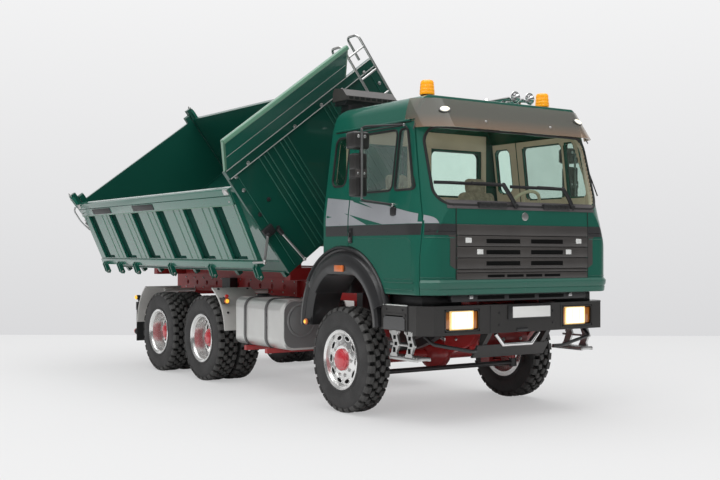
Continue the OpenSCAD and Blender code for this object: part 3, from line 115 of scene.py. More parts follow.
def loop(points, bend):
    """A flat outline with its corners rounded."""
    return [(p.x, p.y) for p in rounded([Vector((x, z, 0)) for x, z in points], bend, True)]


def round_rect(low, high, r, steps=5):
    """Outline of a rectangle with round corners."""
    out = []
    for cx, cy, start in ((high[0] - r, high[1] - r, 0), (low[0] + r, high[1] - r, 90),
                          (low[0] + r, low[1] + r, 180), (high[0] - r, low[1] + r, 270)):
        for degrees in spread(start, start + 90, steps):
            a = math.radians(degrees)
            out.append((cx + r * math.cos(a), cy + r * math.sin(a)))
    return out


def flat(point, order):
    """A point of a side outline (xz) or a front outline (yz)."""
    return Vector((point[0], 0, point[1])) if order == "xz" else Vector((0, point[0], point[1]))


def skin_of(*names, place=HOME):
    """Surface of CAD nodes in truck millimetres, for dropping trim on."""
    verts, faces = [], []
    back = place.inverted()
    for name in names:
        mesh = nodes[name].data
        mesh.calc_loop_triangles()
        start = len(verts)
        verts += [back @ v.co for v in mesh.vertices]
        faces += [[start + i for i in t.vertices] for t in mesh.loop_triangles]
    return BVHTree.FromPolygons(verts, faces)


# Materials
def node(tree, kind, inputs=None, **settings):
    """A new node. Its inputs are constants, sockets, or nodes whose first output is meant."""
    made = tree.nodes.new(f"ShaderNode{kind}")
    for name, value in settings.items():
        setattr(made, name, value)
    for key, value in (inputs or {}).items():
        if isinstance(value, bpy.types.Node):
            value = value.outputs[0]
        if isinstance(value, bpy.types.NodeSocket):
            tree.links.new(value, made.inputs[key])
        else:
            made.inputs[key].default_value = value
    return made


def ramp_of(tree, share, low, high, places=(0.0, 1.0)):
    """A blend from one colour to another."""
    ramp = node(tree, "ValToRGB", {"Fac": share})
    for stop, place, colour in zip(ramp.color_ramp.elements, places, (low, high)):
        stop.position = place
        stop.color = (*colour, 1)
    return ramp


def material_of(name):
    m = bpy.data.materials.new(name)
    m.use_nodes = True
    m.node_tree.nodes.clear()
    return m, m.node_tree


def finish_of(name, colour, rough=0.4, metal=0.0, coat=0.0, vary=0.1, cloud=35.0, grain=700.0,
              bump=0.05, soft=0.0004, glow=0.0, scratch=0.0, coat_rough=0.04, ior=1.5):
    """A clouded colour with grained roughness and relief, and edges softened in shading."""
    m, tree = material_of(name)
    where = node(tree, "TexCoord").outputs["Object"]
    clouds = node(tree, "TexNoise", {"Vector": where, "Scale": cloud, "Detail": 3})
    shade = ramp_of(tree, clouds, [c * (1 - vary) for c in colour],
                    [min(1, c * (1 + vary)) for c in colour], (0.3, 0.7))
    if scratch:
        where = node(tree, "Mapping", {"Vector": where, "Scale": (1, scratch, scratch)})
    fine = node(tree, "TexNoise", {"Vector": where, "Scale": grain, "Detail": 2})
    spots = node(tree, "MapRange", {"Value": fine, "To Min": rough * 0.75, "To Max": min(1, rough * 1.3)})
    relief = node(tree, "Bump", {"Strength": bump, "Distance": 0.0003, "Height": fine})
    skin = node(tree, "BsdfPrincipled", {
        "Base Color": shade, "Roughness": spots, "Metallic": metal, "IOR": ior, "Coat Weight": coat,
        "Coat Roughness": coat_rough, "Coat IOR": 1.6, "Normal": relief})
    if soft:
        edge = node(tree, "Bevel", {"Radius": soft}, samples=4).outputs["Normal"]
        tree.links.new(edge, relief.inputs["Normal"])
        if coat:
            tree.links.new(edge, skin.inputs["Coat Normal"])
    if glow:
        tree.links.new(shade.outputs["Color"], skin.inputs["Emission Color"])
        skin.inputs["Emission Strength"].default_value = glow
    node(tree, "OutputMaterial", {"Surface": skin})
    return m


# Heights, in metres, between which the pale veil's colour changes
VEIL_FROM, VEIL_TO = 0.1985, 0.2065


def glass_of(name, tint, gloss=0.06, haze=0.02, cloud=60.0, pale_veil=0.0,
             upper=(0.2, 0.195, 0.17), lower=(0.38, 0.25, 0.17)):
    """Clear tinted glass that shines on its outside, with a pale diffuse veil whose colour changes with
    height.
    """
    m, tree = material_of(name)
    where = node(tree, "TexCoord").outputs["Object"]
    speck = node(tree, "TexNoise", {"Vector": where, "Scale": cloud})
    shade = ramp_of(tree, speck, [c * 0.97 for c in tint], [min(1, c * 1.03) for c in tint])
    body = node(tree, "BsdfTransparent", {"Color": shade})
    if pale_veil:
        height = node(tree, "SeparateXYZ", {"Vector": where}).outputs["Z"]
        grade = node(tree, "MapRange", {"Value": height, "From Min": VEIL_FROM, "From Max": VEIL_TO})
        veil = node(tree, "BsdfDiffuse", {"Color": ramp_of(tree, grade, lower, upper)})
        body = node(tree, "MixShader", {"Fac": pale_veil, 1: body, 2: veil})
    inside = node(tree, "NewGeometry").outputs["Backfacing"]
    outside = node(tree, "Math", {0: 1, 1: inside}, operation="SUBTRACT")
    rim = node(tree, "Fresnel", {"IOR": 1.0 + gloss * 8})
    part = node(tree, "Math", {0: rim, 1: outside}, operation="MULTIPLY")
    shine = node(tree, "BsdfGlossy", {"Roughness": haze})
    node(tree, "OutputMaterial", {"Surface": node(tree, "MixShader", {"Fac": part, 1: body, 2: shine})})
    return m


# Greens, reds and blacks
PAINT = dict(rough=0.45, cloud=14, bump=0.0, ior=1.3)
GREEN = finish_of("green_paint", (0.004, 0.1, 0.067), coat=0.58, vary=0.05, soft=0.0006, **PAINT)
# the bed green is a darker copy of the green paint: painted shade on the bed, headboard, left board and
# tailgate
SHADED_BED_GREEN = finish_of("green_bed_painted_shade", (0.0035, 0.066, 0.045), coat=0.7, vary=0.06, soft=0.0006, **PAINT)
# the head green is a lighter copy of the green paint: painted light on the headboard extension's upward face
LIT_HEAD_GREEN = finish_of("green_head_painted_light", (0.008, 0.12, 0.084), coat=0.25, vary=0.05, **PAINT)
# the board green is a lighter copy of the green paint: painted light on the right board
LIT_BOARD_GREEN = finish_of("green_board_painted_light", (0.01, 0.125, 0.085), rough=0.3, coat=1.0, vary=0.05, cloud=14,
                        bump=0.0, soft=0.0006, coat_rough=0.12)
# pale copy of the green for lips, beads and seam edges: painted highlight
HIGHLIGHT_GREEN = finish_of("green_painted_highlight", (0.13, 0.28, 0.19), rough=0.4, coat=0.6, vary=0.05, bump=0.0, ior=1.3)
# dark green for seams and grooves, and for slot floors, where it is partly a darker lining and partly painted
# shade
SEAM_AND_SHADE = finish_of("green_seam_and_painted_shade", (0.003, 0.04, 0.029), rough=0.75, vary=0.2, cloud=25, bump=0.04, ior=1.2)
RED = finish_of("red_paint", (0.36, 0.016, 0.016), rough=0.45, coat=0.4, vary=0.12, bump=0.03)
HUB_RED = finish_of("hub_red", (0.56, 0.03, 0.045), rough=0.25, coat=1.0, vary=0.06, bump=0.02, soft=0.0003)
BLACK = finish_of("black_plastic", (0.016, 0.016, 0.017), rough=0.42, vary=0.2, bump=0.08, grain=1800)
SATIN = finish_of("satin_black", (0.02, 0.02, 0.021), rough=0.32, coat=0.2, vary=0.15, bump=0.03)
GLOSS = finish_of("gloss_black", (0.008, 0.008, 0.009), rough=0.2, coat=1.0, vary=0.1, bump=0.01)
DARK = finish_of("dark_plastic", (0.056, 0.051, 0.048), rough=0.36, vary=0.15, bump=0.06, grain=1500)
BUMPER = finish_of("bumper_black", (0.026, 0.0245, 0.0235), rough=0.34, vary=0.15, bump=0.05, grain=1500)
# near-black fill for vents, slots and holes: painted shade inside the openings
OPENING_SHADE = finish_of("opening_painted_shade", (0.004, 0.004, 0.004), rough=0.8, vary=0.2, bump=0.02, soft=0, ior=1.2)

# Rubber
SEAL = finish_of("seal_rubber", (0.012, 0.012, 0.012), rough=0.55, vary=0.2, bump=0.06)
RUBBER = finish_of("tyre_rubber", (0.04, 0.039, 0.039), rough=0.62, vary=0.25, cloud=90, bump=0.25,
                   grain=1200, soft=0.0005)
# the groove band between the knobs is near-black as painted shade
GROOVE_SHADE = finish_of("tyre_groove_painted_shade", (0.011, 0.011, 0.011), rough=0.8, vary=0.2, bump=0.1, soft=0, ior=1.3)
# knobs in a lighter copy of the tyre rubber, as painted highlight on the tread
LIT_KNOB = finish_of("tyre_knob_painted_highlight", (0.058, 0.057, 0.055), rough=0.55, vary=0.25, cloud=120, bump=0.2,
                 grain=1200, soft=0)
FLAP = finish_of("flap_rubber", (0.022, 0.022, 0.022), rough=0.6, vary=0.2, bump=0.15)

# Metals and stripes
GUARD = finish_of("satin_grey", (0.68, 0.67, 0.645), rough=0.38, metal=0.25, coat=0.2, vary=0.08,
                  bump=0.03, scratch=0.2)
METAL = finish_of("bright_metal", (0.6, 0.6, 0.59), rough=0.3, metal=1.0, vary=0.05, cloud=50, bump=0.03,
                  scratch=0.15)
POLISH = finish_of("polished_rim", (0.9, 0.9, 0.89), rough=0.17, metal=0.85, vary=0.04, cloud=60, bump=0.02)
CHROME = finish_of("chrome", (0.9, 0.9, 0.9), rough=0.06, metal=1.0, vary=0.03, bump=0.01, soft=0.0002)
STEEL = finish_of("machined_steel", (0.5, 0.5, 0.5), rough=0.3, metal=1.0, bump=0.05, scratch=0.1)
TANK = finish_of("tank_metal", (0.76, 0.76, 0.74), rough=0.34, metal=0.75, vary=0.05, bump=0.04, scratch=0.2)
TANK_END = finish_of("tank_end", (0.2, 0.2, 0.2), metal=0.3, coat=0.3, vary=0.08, bump=0.03)
STRAP = finish_of("strap_metal", (0.15, 0.15, 0.15), rough=0.3, metal=0.6, vary=0.08, bump=0.04, scratch=0.2)
COWL = finish_of("cowl_grey", (0.1, 0.092, 0.094), rough=0.35, coat=0.2, vary=0.12, bump=0.03)
GREY = finish_of("grey_stripe", (0.3, 0.31, 0.33), rough=0.3, coat=0.6, vary=0.06, bump=0.01, soft=0)
CHARCOAL = finish_of("dark_stripe", (0.03, 0.03, 0.031), rough=0.3, coat=0.6, bump=0.01, soft=0)
# pale lines along edges: painted highlight
HIGHLIGHT_LINE = finish_of("painted_highlight_line", (0.5, 0.52, 0.5), rough=0.35, coat=0.4, vary=0.06, bump=0.01, soft=0)
PLATE = finish_of("plate_white", (0.8, 0.8, 0.78), coat=0.3, vary=0.03, bump=0.01)

# Cab inside: these finishes glow a little, as painted light standing in for light reaching into the cab
SEAT = finish_of("seat_cloth_painted_light", (0.36, 0.3, 0.23), glow=0.14, rough=0.85, vary=0.3, cloud=300, bump=0.6,
                 grain=2500)
DASH = finish_of("dash_grey_painted_light", (0.26, 0.235, 0.195), glow=0.12, rough=0.6, vary=0.15, bump=0.2, grain=2000)
LINING = finish_of("cab_lining_painted_light", (0.5, 0.4, 0.3), glow=0.2, rough=0.7, bump=0.2, grain=1500)
TAN = finish_of("wheel_tan_painted_light", (0.5, 0.43, 0.31), glow=0.2, rough=0.5, bump=0.1)

# Lenses and glass
LENS = dict(rough=0.15, coat=1.0, bump=0.05)
AMBER = finish_of("amber_lens", (1.0, 0.36, 0.004), rough=0.2, coat=0.6, vary=0.12, cloud=120, glow=0.36,
                  bump=0.1, grain=500)
ORANGE = finish_of("orange_lens", (0.6, 0.15, 0.035), rough=0.3, coat=0.5, vary=0.12, cloud=120, glow=0.05,
                   bump=0.1)
LIT_AMBER = finish_of("lit_amber", (1.0, 0.5, 0.04), cloud=150, glow=0.9, **LENS)
LIT_EDGE = finish_of("lit_edge", (1.0, 0.6, 0.22), cloud=150, glow=0.7, **LENS)
DIM_AMBER = finish_of("amber_glass", (0.4, 0.13, 0.02), vary=0.12, cloud=120, glow=0.06, **LENS)
LENS_RED = finish_of("red_lens", (0.5, 0.015, 0.012), vary=0.12, glow=0.08, **LENS)
WARM = finish_of("lit_lens", (1.0, 0.88, 0.62), rough=0.1, coat=1.0, vary=0.05, cloud=150, glow=1.4, bump=0.1)
CLEAR = finish_of("lamp_lens", (0.75, 0.76, 0.74), rough=0.12, coat=1.0, vary=0.08, cloud=150, bump=0.15)
MIRROR_GLASS = finish_of("mirror_glass", (0.82, 0.84, 0.84), rough=0.04, metal=1.0, vary=0.02, bump=0.0,
                         soft=0)
GLASS = glass_of("cab_glass", (0.9, 0.975, 0.94))
SIDE_VEIL = (0.34, 0.4, 0.39)
SIDE_GLASS = glass_of("side_glass", (0.88, 0.95, 0.92), pale_veil=0.16, upper=SIDE_VEIL, lower=SIDE_VEIL)
TINT = glass_of("visor_tint", (0.72, 0.66, 0.58), pale_veil=0.34)


# Mesh building
class Piece:
    """A mesh joined from solids given in truck millimetres, riding on one body."""

    def __init__(self, name, body, place=HOME, slot=None, replaces=(), sharp=35):
        self.name, self.body, self.place, self.slot = name, body, place, slot
        self.gone, self.sharp = replaces, sharp
        self.bm, self.mats = bmesh.new(), []

    def add(self, bm, mat, soft=0.0, steps=2, move=None, solid=True):
        if soft:
            edges = [e for e in bm.edges if e.is_manifold and e.calc_face_angle(0) > 0.5]
            bmesh.ops.bevel(bm, geom=edges, offset=soft, segments=steps, profile=0.5,
                            affect="EDGES", clamp_overlap=True)
        if move:
            bm.transform(move)
        if solid:
            bmesh.ops.recalc_face_normals(bm, faces=bm.faces)
        if mat not in self.mats:
            self.mats.append(mat)
        for f in bm.faces:
            f.material_index = self.mats.index(mat)
        mesh = bpy.data.meshes.new("part")
        bm.to_mesh(mesh)
        bm.free()
        self.bm.from_mesh(mesh)
        bpy.data.meshes.remove(mesh)

    def box(self, one, other, mat, soft=0.5, steps=2, move=None):
        """A box between two opposite corners."""
        low = Vector([min(pair) for pair in zip(one, other)])
        high = Vector([max(pair) for pair in zip(one, other)])
        bm = bmesh.new()
        bmesh.ops.create_cube(bm, size=1, matrix=Matrix.Translation((low + high) / 2)
                              @ Matrix.Diagonal((*(high - low), 1)))
        self.add(bm, mat, soft, steps, move)

    def prism(self, points, axis, one, other, mat, soft=0.0, steps=2, move=None):
        """Outline extruded along an axis: (x, z) along y, (y, z) along x, (x, y) along z."""
        k = "xyz".index(axis)
        bm = bmesh.new()
        ends = [[bm.verts.new((*p[:k], t, *p[k:])) for p in points] for t in sorted((one, other))]
        bm.faces.new(ends[0])
        bm.faces.new(ends[1][::-1])
        n = len(points)
        for i in range(n):
            j = (i + 1) % n
            bm.faces.new((ends[0][i], ends[1][i], ends[1][j], ends[0][j]))
        self.add(bm, mat, soft, steps, move)

    def lathe(self, profile, at, along, mat, n=40, closed=False, move=None):
        """Profile of (radius, distance) turned about a line through a point."""
        bm = bmesh.new()
        turn = Vector(UP).rotation_difference(Vector(along)).to_matrix().to_4x4()
        rings = []
        for r, t in profile:
            if r < 1e-6:
                rings.append([bm.verts.new((0, 0, t))] * n)
            else:
                rings.append([bm.verts.new((x, y, t)) for x, y in circle(r, n)])
        count = len(rings)
        for i in range(count if closed else count - 1):
            a, b = rings[i], rings[(i + 1) % count]
            for k in range(n):
                q = (k + 1) % n
                corners = list(dict.fromkeys((a[k], a[q], b[q], b[k])))
                if len(corners) > 2:
                    bm.faces.new(corners)
        self.add(bm, mat, 0, 0, (move or Matrix()) @ Matrix.Translation(at) @ turn)

    def rod(self, p, q, r, mat, n=14, soft=0.25):
        """A round bar with softened ends."""
        p, q = Vector(p), Vector(q)
        d = (q - p).length
        soft = min(soft, r * 0.6, d * 0.4)
        profile = [(0, 0), (r - soft, 0), (r, soft), (r, d - soft), (max(r - soft, 0.01), d), (0, d)]
        self.lathe(profile, p, q - p, mat, n)

    def ball(self, at, r, mat, n=16):
        bm = bmesh.new()
        bmesh.ops.create_uvsphere(bm, u_segments=n, v_segments=n // 2 + 2, radius=r)
        self.add(bm, mat, 0, 0, Matrix.Translation(at))

    def tube(self, path, r, mat, n=10, closed=False, bend=0.0):
        """Round bar along points, with its corners rounded by a bend."""
        pts = [Vector(p) for p in path]
        if bend:
            pts = rounded(pts, bend, closed)
        self.sweep(pts, circle(r, n), mat, closed)

    def sweep(self, pts, ring, mat, closed=False, up=None):
        """A closed section (side, up) carried along points."""
        bm = bmesh.new()
        rows = []
        count = len(pts)
        side = None
        for i, p in enumerate(pts):
            back = pts[i - 1] if i or closed else p
            on = pts[(i + 1) % count] if i + 1 < count or closed else p
            d = (on - back).normalized()
            if up is not None:
                side = d.cross(Vector(up)).normalized()
            elif side is None:
                side = d.orthogonal().normalized()
            else:
                side = (side - d * side.dot(d)).normalized()
            u = side.cross(d)
            stretch = 1
            if i or closed:
                a = (p - pts[i - 1]).normalized()
                b = (on - p).normalized() if i + 1 < count or closed else a
                stretch = 1 / max(0.5, math.cos(a.angle(b, 0) / 2))
            rows.append([bm.verts.new(p + side * s * stretch + u * h) for s, h in ring])
        m = len(ring)
        for i in range(count if closed else count - 1):
            a, b = rows[i], rows[(i + 1) % count]
            for k in range(m):
                q = (k + 1) % m
                bm.faces.new((a[k], a[q], b[q], b[k]))
        if not closed:
            bm.faces.new(rows[0])
            bm.faces.new(rows[-1][::-1])
        self.add(bm, mat)

    def decal(self, outline, mat, skin, way=LEFT, lift=0.22, grid=4.0, order="xz"):
        """A flat outline cut to a grid and dropped on a skin along a direction."""
        bm = bmesh.new()
        way = Vector(way)
        bm.faces.new([bm.verts.new(flat(p, order)) for p in outline])
        for axis in (0, 2) if order == "xz" else (1, 2):
            low = min(v.co[axis] for v in bm.verts)
            high = max(v.co[axis] for v in bm.verts)
            t = math.floor(low / grid) * grid + grid
            while t < high:
                at, normal = Vector(), Vector()
                at[axis], normal[axis] = t, 1
                bmesh.ops.bisect_plane(bm, geom=bm.verts[:] + bm.edges[:] + bm.faces[:],
                                       plane_co=at, plane_no=normal)
                t += grid
        bmesh.ops.triangulate(bm, faces=[f for f in bm.faces if len(f.verts) > 4])
        for v in bm.verts:
            hit = skin.ray_cast(v.co - way * DECAL_FAR, way)[0]
            if hit is not None:
                v.co = hit - way * lift
        for f in bm.faces:
            f.normal_update()
            if f.normal.dot(way) > 0:
                f.normal_flip()
        self.add(bm, mat, solid=False)

    def ribbon(self, columns, mat, skin, lift=0.15, rows=3):
        """A strip whose columns (place, way, low, high) are dropped on a skin."""
        bm = bmesh.new()
        grid = []
        for at, way, low, high in columns:
            way = Vector((way[0], way[1], 0)).normalized()
            line = []
            for z in spread(low, high, rows):
                hit = skin.ray_cast(Vector((at[0], at[1], z)), way)[0]
                line.append(None if hit is None else bm.verts.new(hit - way * lift))
            grid.append((line, way))
        for (a, way), (b, _) in zip(grid, grid[1:]):
            for k in range(rows):
                corners = (a[k], b[k], b[k + 1], a[k + 1])
                if None not in corners:
                    f = bm.faces.new(corners)
                    f.normal_update()
                    if f.normal.dot(way) > 0:
                        f.normal_flip()
        self.add(bm, mat, solid=False)

    def seal(self, outline, mat, skin, way=LEFT, r=0.7, order="xz", sink=0.2):
        """A bead along an outline on a skin."""
        way = Vector(way)
        hits = [skin.ray_cast(flat(p, order) - way * DECAL_FAR, way)[0] for p in outline]
        self.tube([hit + way * sink for hit in hits if hit is not None], r, mat, 8, closed=True)

    def arc(self, section, at, start, end, mat, n=48):
        """A closed section of (radius, y), the same or one for each angle, turned about a cross axis."""
        bm = bmesh.new()
        rows = []
        for degrees in spread(start, end, n):
            a = math.radians(degrees)
            rows.append([bm.verts.new((at[0] + r * math.cos(a), y, at[1] + r * math.sin(a)))
                         for r, y in value_at(section, a)])
        m = len(rows[0])
        for a, b in zip(rows, rows[1:]):
            for k in range(m):
                bm.faces.new((a[k], a[(k + 1) % m], b[(k + 1) % m], b[k]))
        bm.faces.new(rows[0])
        bm.faces.new(rows[-1][::-1])
        self.add(bm, mat)

    def bolt(self, at, way, r, mat):
        """A domed hexagon head on a washer."""
        high = r * 0.9
        self.lathe([(0, -0.4), (r * 1.35, -0.4), (r * 1.35, 0.2), (r * 1.02, 0.25)], at, way, mat, 14)
        self.lathe([(r, 0), (r, high * 0.75), (r * 0.8, high), (0, high)], at, way, mat, 6)

    def done(self):
        mesh = bpy.data.meshes.new(self.name)
        if self.place.determinant() < 0:
            bmesh.ops.reverse_faces(self.bm, faces=self.bm.faces)
        self.bm.transform(self.place)
        self.bm.to_mesh(mesh)
        self.bm.free()
        mesh.polygons.foreach_set("use_smooth", [True] * len(mesh.polygons))
        mesh.set_sharp_from_angle(angle=math.radians(self.sharp))
        for m in self.mats:
            mesh.materials.append(m)
        obj = bpy.data.objects.new(self.name, mesh)
        scene.collection.objects.link(obj)
        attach(obj, self.body)
        if self.gone:
            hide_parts(*self.gone)
        return obj


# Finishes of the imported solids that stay
def dress(mat, *names):
    for name in names:
        mesh = nodes[name].data
        mesh.materials.clear()
        mesh.materials.append(mat)


WHEELS = [f"{axle}_{side}" for axle in ("front", "rear1", "rear2") for side, _ in SIDES]
dress(RED, "frame_rails", "tipper_subframe", "axles", "driveline", "knuckle_right", "knuckle_left")
dress(STRAP, "tank_straps")
dress(SATIN, "leaf_springs", "tie_rod", "tow_coupling", "wipers")
dress(BUMPER, "bumper")
dress(DARK, "battery_box")
dress(BLACK, "air_intake", "grille", "fenders", "mirrors_right", "mirrors_left", "cab_floor", "rear_lamps")
dress(METAL, "entry_steps", "ladder")
dress(GUARD, "mudguards")
dress(TANK, "fuel_tank")
dress(CHROME, "tow_hoop", "roof_horns")
dress(FLAP, "mud_flaps")
dress(AMBER, "cab_lamps")
dress(CLEAR, "headlamps")
dress(TINT, "sun_visor")
dress(GLASS, "cab_glass")
dress(SIDE_GLASS, "door_glass_right", "door_glass_left")
dress(GREEN, "cab_rear_wall", "cab_side_panels", "cab_front", "cab_roof", "door_right", "door_left")
# darker copy of the green on the bed parts is painted shade; lighter copy on the right board is painted light
dress(SHADED_BED_GREEN, "bed_floor", "headboard", "board_left", "tailgate")
dress(LIT_BOARD_GREEN, "board_right")
dress(STEEL, "hoist_barrel", "hoist_stage1", "hoist_stage2")
dress(DASH, "cab_interior")
dress(RUBBER, *[f"tyre_{w}" for w in WHEELS])
dress(POLISH, *[f"rim_{w}" for w in WHEELS])


# Tyres: smooth walls, a groove band darkened as painted shade, and four staggered rows of round knobs lighter
# than the rubber as painted highlight
TYRE_WALL = [(35.2, 2.4), (35.6, 1.5), (34.8, 0.7), (32.6, 0.2), (29.5, 0.0), (27, 0.1), (24.2, 0.45),
             (23.6, 0.9), (21.8, 0.35), (19.4, 0.9), (20.5, 4)]
TYRE_GROOVE = [(34.4, 2.0), (35.4, 2.0), (35.4, 17.0), (34.4, 17.0)]
# Rows of knobs: from, to (mm from the face), shift (share of a knob), lean (degrees, None at a shoulder)
KNOB_ROWS = ((0.25, 5.0, 0.0, None), (5.5, 9.2, 0.5, 16), (9.8, 13.5, 0.0, -16), (18.75, 14.0, 0.5, None))
KNOB_COUNT = 30
KNOB_HALF = 2.5
KNOB_FOOT = 36.4


def shoulder_knob(outer, inner):
    """Section of a knob at a tyre's edge, as (depth, radius)."""
    s = 1 if inner > outer else -1
    return [(outer, 34.7), (outer, 36.0), (outer + 1.3 * s, 37.5), (inner - 0.6 * s, 37.95), (inner, 37.6),
            (inner, 34.6)]


def tyre(piece, x, face):
    """One tyre whose outer face is at y = -face."""
    hub = (x, -face, AXLE_Z)
    wall = TYRE_WALL + [(r, TYRE_WIDE - t) for r, t in reversed(TYRE_WALL)]
    piece.lathe(wall, hub, LEFT, RUBBER, 72, closed=True)
    piece.lathe(TYRE_GROOVE, hub, LEFT, GROOVE_SHADE, 72, closed=True)
    for k in range(KNOB_COUNT):
        for start, end, shift, lean in KNOB_ROWS:
            turn = Matrix.Translation(hub) @ Matrix.Rotation(2 * math.pi * (k + shift) / KNOB_COUNT, 4, "Y")
            if lean is None:
                piece.prism(shoulder_knob(start, end), "x", -KNOB_HALF, KNOB_HALF, LIT_KNOB, 0.75, 2, turn)
            else:
                skew = (Matrix.Translation((0, (start + end) / 2, KNOB_FOOT))
                        @ Matrix.Rotation(math.radians(lean), 4, "Z"))
                piece.box((-KNOB_HALF, -1.85, -1.8), (KNOB_HALF, 1.85, 1.55), LIT_KNOB, 0.9, 2, turn @ skew)


for side, place in SIDES:
    axle = f"front_{side}"
    tread = Piece(f"lugged_tyre_{axle}", f"wheel_{axle}", place, "rubber", (f"tyre_{axle}",))
    tyre(tread, 0, FRONT_FACE)
    tread.done()
    for i, x in enumerate(REAR_X, 1):
        axle = f"rear{i}_{side}"
        tread = Piece(f"lugged_tyre_{axle}", f"wheel_{axle}", place, "rubber", (f"tyre_{axle}",))
        tyre(tread, x, REAR_FACE)
        tyre(tread, x, REAR_FACE - TWIN_STEP)
        tread.done()

# Rims: front ones domed, rear ones deep, with red hubs; profiles are (radius, depth from the tyre's face)
RIM_BARREL = [(19.2, 0.7), (20.9, -0.35), (21.6, 0.15), (21.6, 1.2), (19.5, 1.7), (19.4, 17.3), (21.5, 17.8),
              (21.5, 19)]
RIM_FRONT = RIM_BARREL + [(17.9, 19), (17.6, 6), (8.5, 5.4), (8.5, 9), (4.3, 9), (4.3, 3), (9.4, 1.9),
                          (12.6, 2.5), (14.2, 3.1), (18.3, 3.4), (18.8, 2.2)]
RIM_REAR = RIM_BARREL + [(17.7, 19), (17.5, 15.4), (9, 15.2), (9, 21.5), (4.3, 21.5), (4.3, 13), (11, 12.9),
                         (17.2, 12.7), (17.6, 9), (18.2, 5.2), (18.4, 2.4), (18.8, 2)]
RIM_TWIN = [(21.5, 21.5), (21.5, 22.6), (19.4, 23), (19.4, 38.6), (21.5, 39), (21.5, 40.5), (17.7, 40.5),
            (17.7, 24), (4.3, 24), (4.3, 21.5)]
HUB_FRONT = [(0, -1.0), (5.6, -0.9), (6.4, -0.5), (6.6, 0.1), (7.5, 0.3), (7.9, 0.8), (7.9, 2.6), (0, 2.6)]
HUB_REAR = [(0, 5.6), (4.6, 5.6), (5.6, 6.2), (5.8, 7.4), (7.6, 7.8), (8.3, 8.6), (8.5, 12.8), (0, 12.8)]
VENT_COUNT = NUT_COUNT = 10
HUB_BOLTS = 8


def nuts(piece, hub, depth, r, count, size, mat=METAL):
    for u, v in circle(r, count):
        piece.bolt((hub[0] + u, hub[1] + depth, hub[2] + v), RIGHT, size, mat)


def vents(piece, hub, depth, r, half):
    oval = [(half[0] * u, r + half[1] * v) for u, v in circle(1, 20)]
    for k in range(VENT_COUNT):
        turn = (Matrix.Translation((hub[0], hub[1] + depth, hub[2]))
                @ Matrix.Rotation(2 * math.pi * (k + 0.5) / VENT_COUNT, 4, "Y"))
        # each vent is a near-black fill, painted shade, ringed with bright metal
        piece.prism(oval, "y", -0.16, 0.6, OPENING_SHADE, move=turn)
        piece.tube([turn @ Vector((u, -0.1, v)) for u, v in oval], 0.35, POLISH, 6, closed=True)


for side, place in SIDES:
    hub = (0, -FRONT_FACE, AXLE_Z)
    axle = f"front_{side}"
    rim = Piece(f"alloy_rim_{axle}", f"wheel_{axle}", place, "bright_metal", (f"rim_{axle}",))
    rim.lathe(RIM_FRONT, hub, LEFT, POLISH, 64, closed=True)
    vents(rim, hub, 3.2, 15.9, (3.3, 1.75))
    nuts(rim, hub, 2.1, 11.3, NUT_COUNT, 1.0)
    rim.lathe(HUB_FRONT, hub, LEFT, HUB_RED, 40)
    nuts(rim, hub, 0.3, 7.15, HUB_BOLTS, 0.4, HUB_RED)
    rim.done()
    for i, x in enumerate(REAR_X, 1):
        hub, axle = (x, -REAR_FACE, AXLE_Z), f"rear{i}_{side}"
        rim = Piece(f"alloy_rims_{axle}", f"wheel_{axle}", place, "bright_metal", (f"rim_{axle}",))
        rim.lathe(RIM_REAR, hub, LEFT, POLISH, 64, closed=True)
        rim.lathe(RIM_TWIN, hub, LEFT, POLISH, 48, closed=True)
        vents(rim, hub, 12.7, 14.6, (3.0, 1.6))
        nuts(rim, hub, 12.6, 10.6, NUT_COUNT, 0.95)
        rim.lathe(HUB_REAR, hub, LEFT, HUB_RED, 40)
        rim.done()

# Wheel arch flares with a rolled lip, and the cab's amber lamps; sections are (radius, y)
FLARE_LIP = [(45.6, -88.9), (42.6, -88.7), (40.7, -87.5), (40.0, -85.4), (40.0, -60), (42, -60), (42, -80)]
FLARE = [(57.5, -83), (57.6, -85.8), (56.9, -87.0), (55.8, -87.0), (55.0, -85.4), (53.8, -84.8),
         (53.0, -85.6), (52.2, -87.2), (49.6, -88.5)] + FLARE_LIP + [(55, -80)]
FLARE_LEG = [(47.4, -83), (47.5, -87.6)] + FLARE_LIP
FLARE_REAR = [(57.5, -80), (57.5, -85.4), (54.6, -86.2), (53.4, -84.4), (46.6, -84.2), (44.6, -83),
              (44.6, -60), (46.6, -60), (46.6, -80)]
FLARE_INNER, FLARE_FLAT, FLARE_MOVES = 40.0, 36.5, 44
BEACON_BASE = [(0, 0), (4.6, 0), (4.6, 2.6), (3.4, 3.1), (0, 3.1)]
BEACON = [(0, 2.9), (5.2, 2.9), (5.3, 4.2), (5.0, 4.5), (5.2, 4.9), (5.1, 6.4), (4.8, 6.7), (5.0, 7.1),
          (4.9, 8.8), (4.6, 9.1), (4.8, 9.5), (4.6, 11.6), (3.9, 12.6), (2.4, 13.0), (0, 13.1)]


def flare_at(sign):
    """Sections of a flare whose opening has a flat top."""
    def section(a):
        drop = max(0.0, FLARE_INNER - FLARE_FLAT / max(math.sin(a), 0.5))
        return [(r - drop if r < FLARE_MOVES else r, sign * y) for r, y in FLARE]
    return section


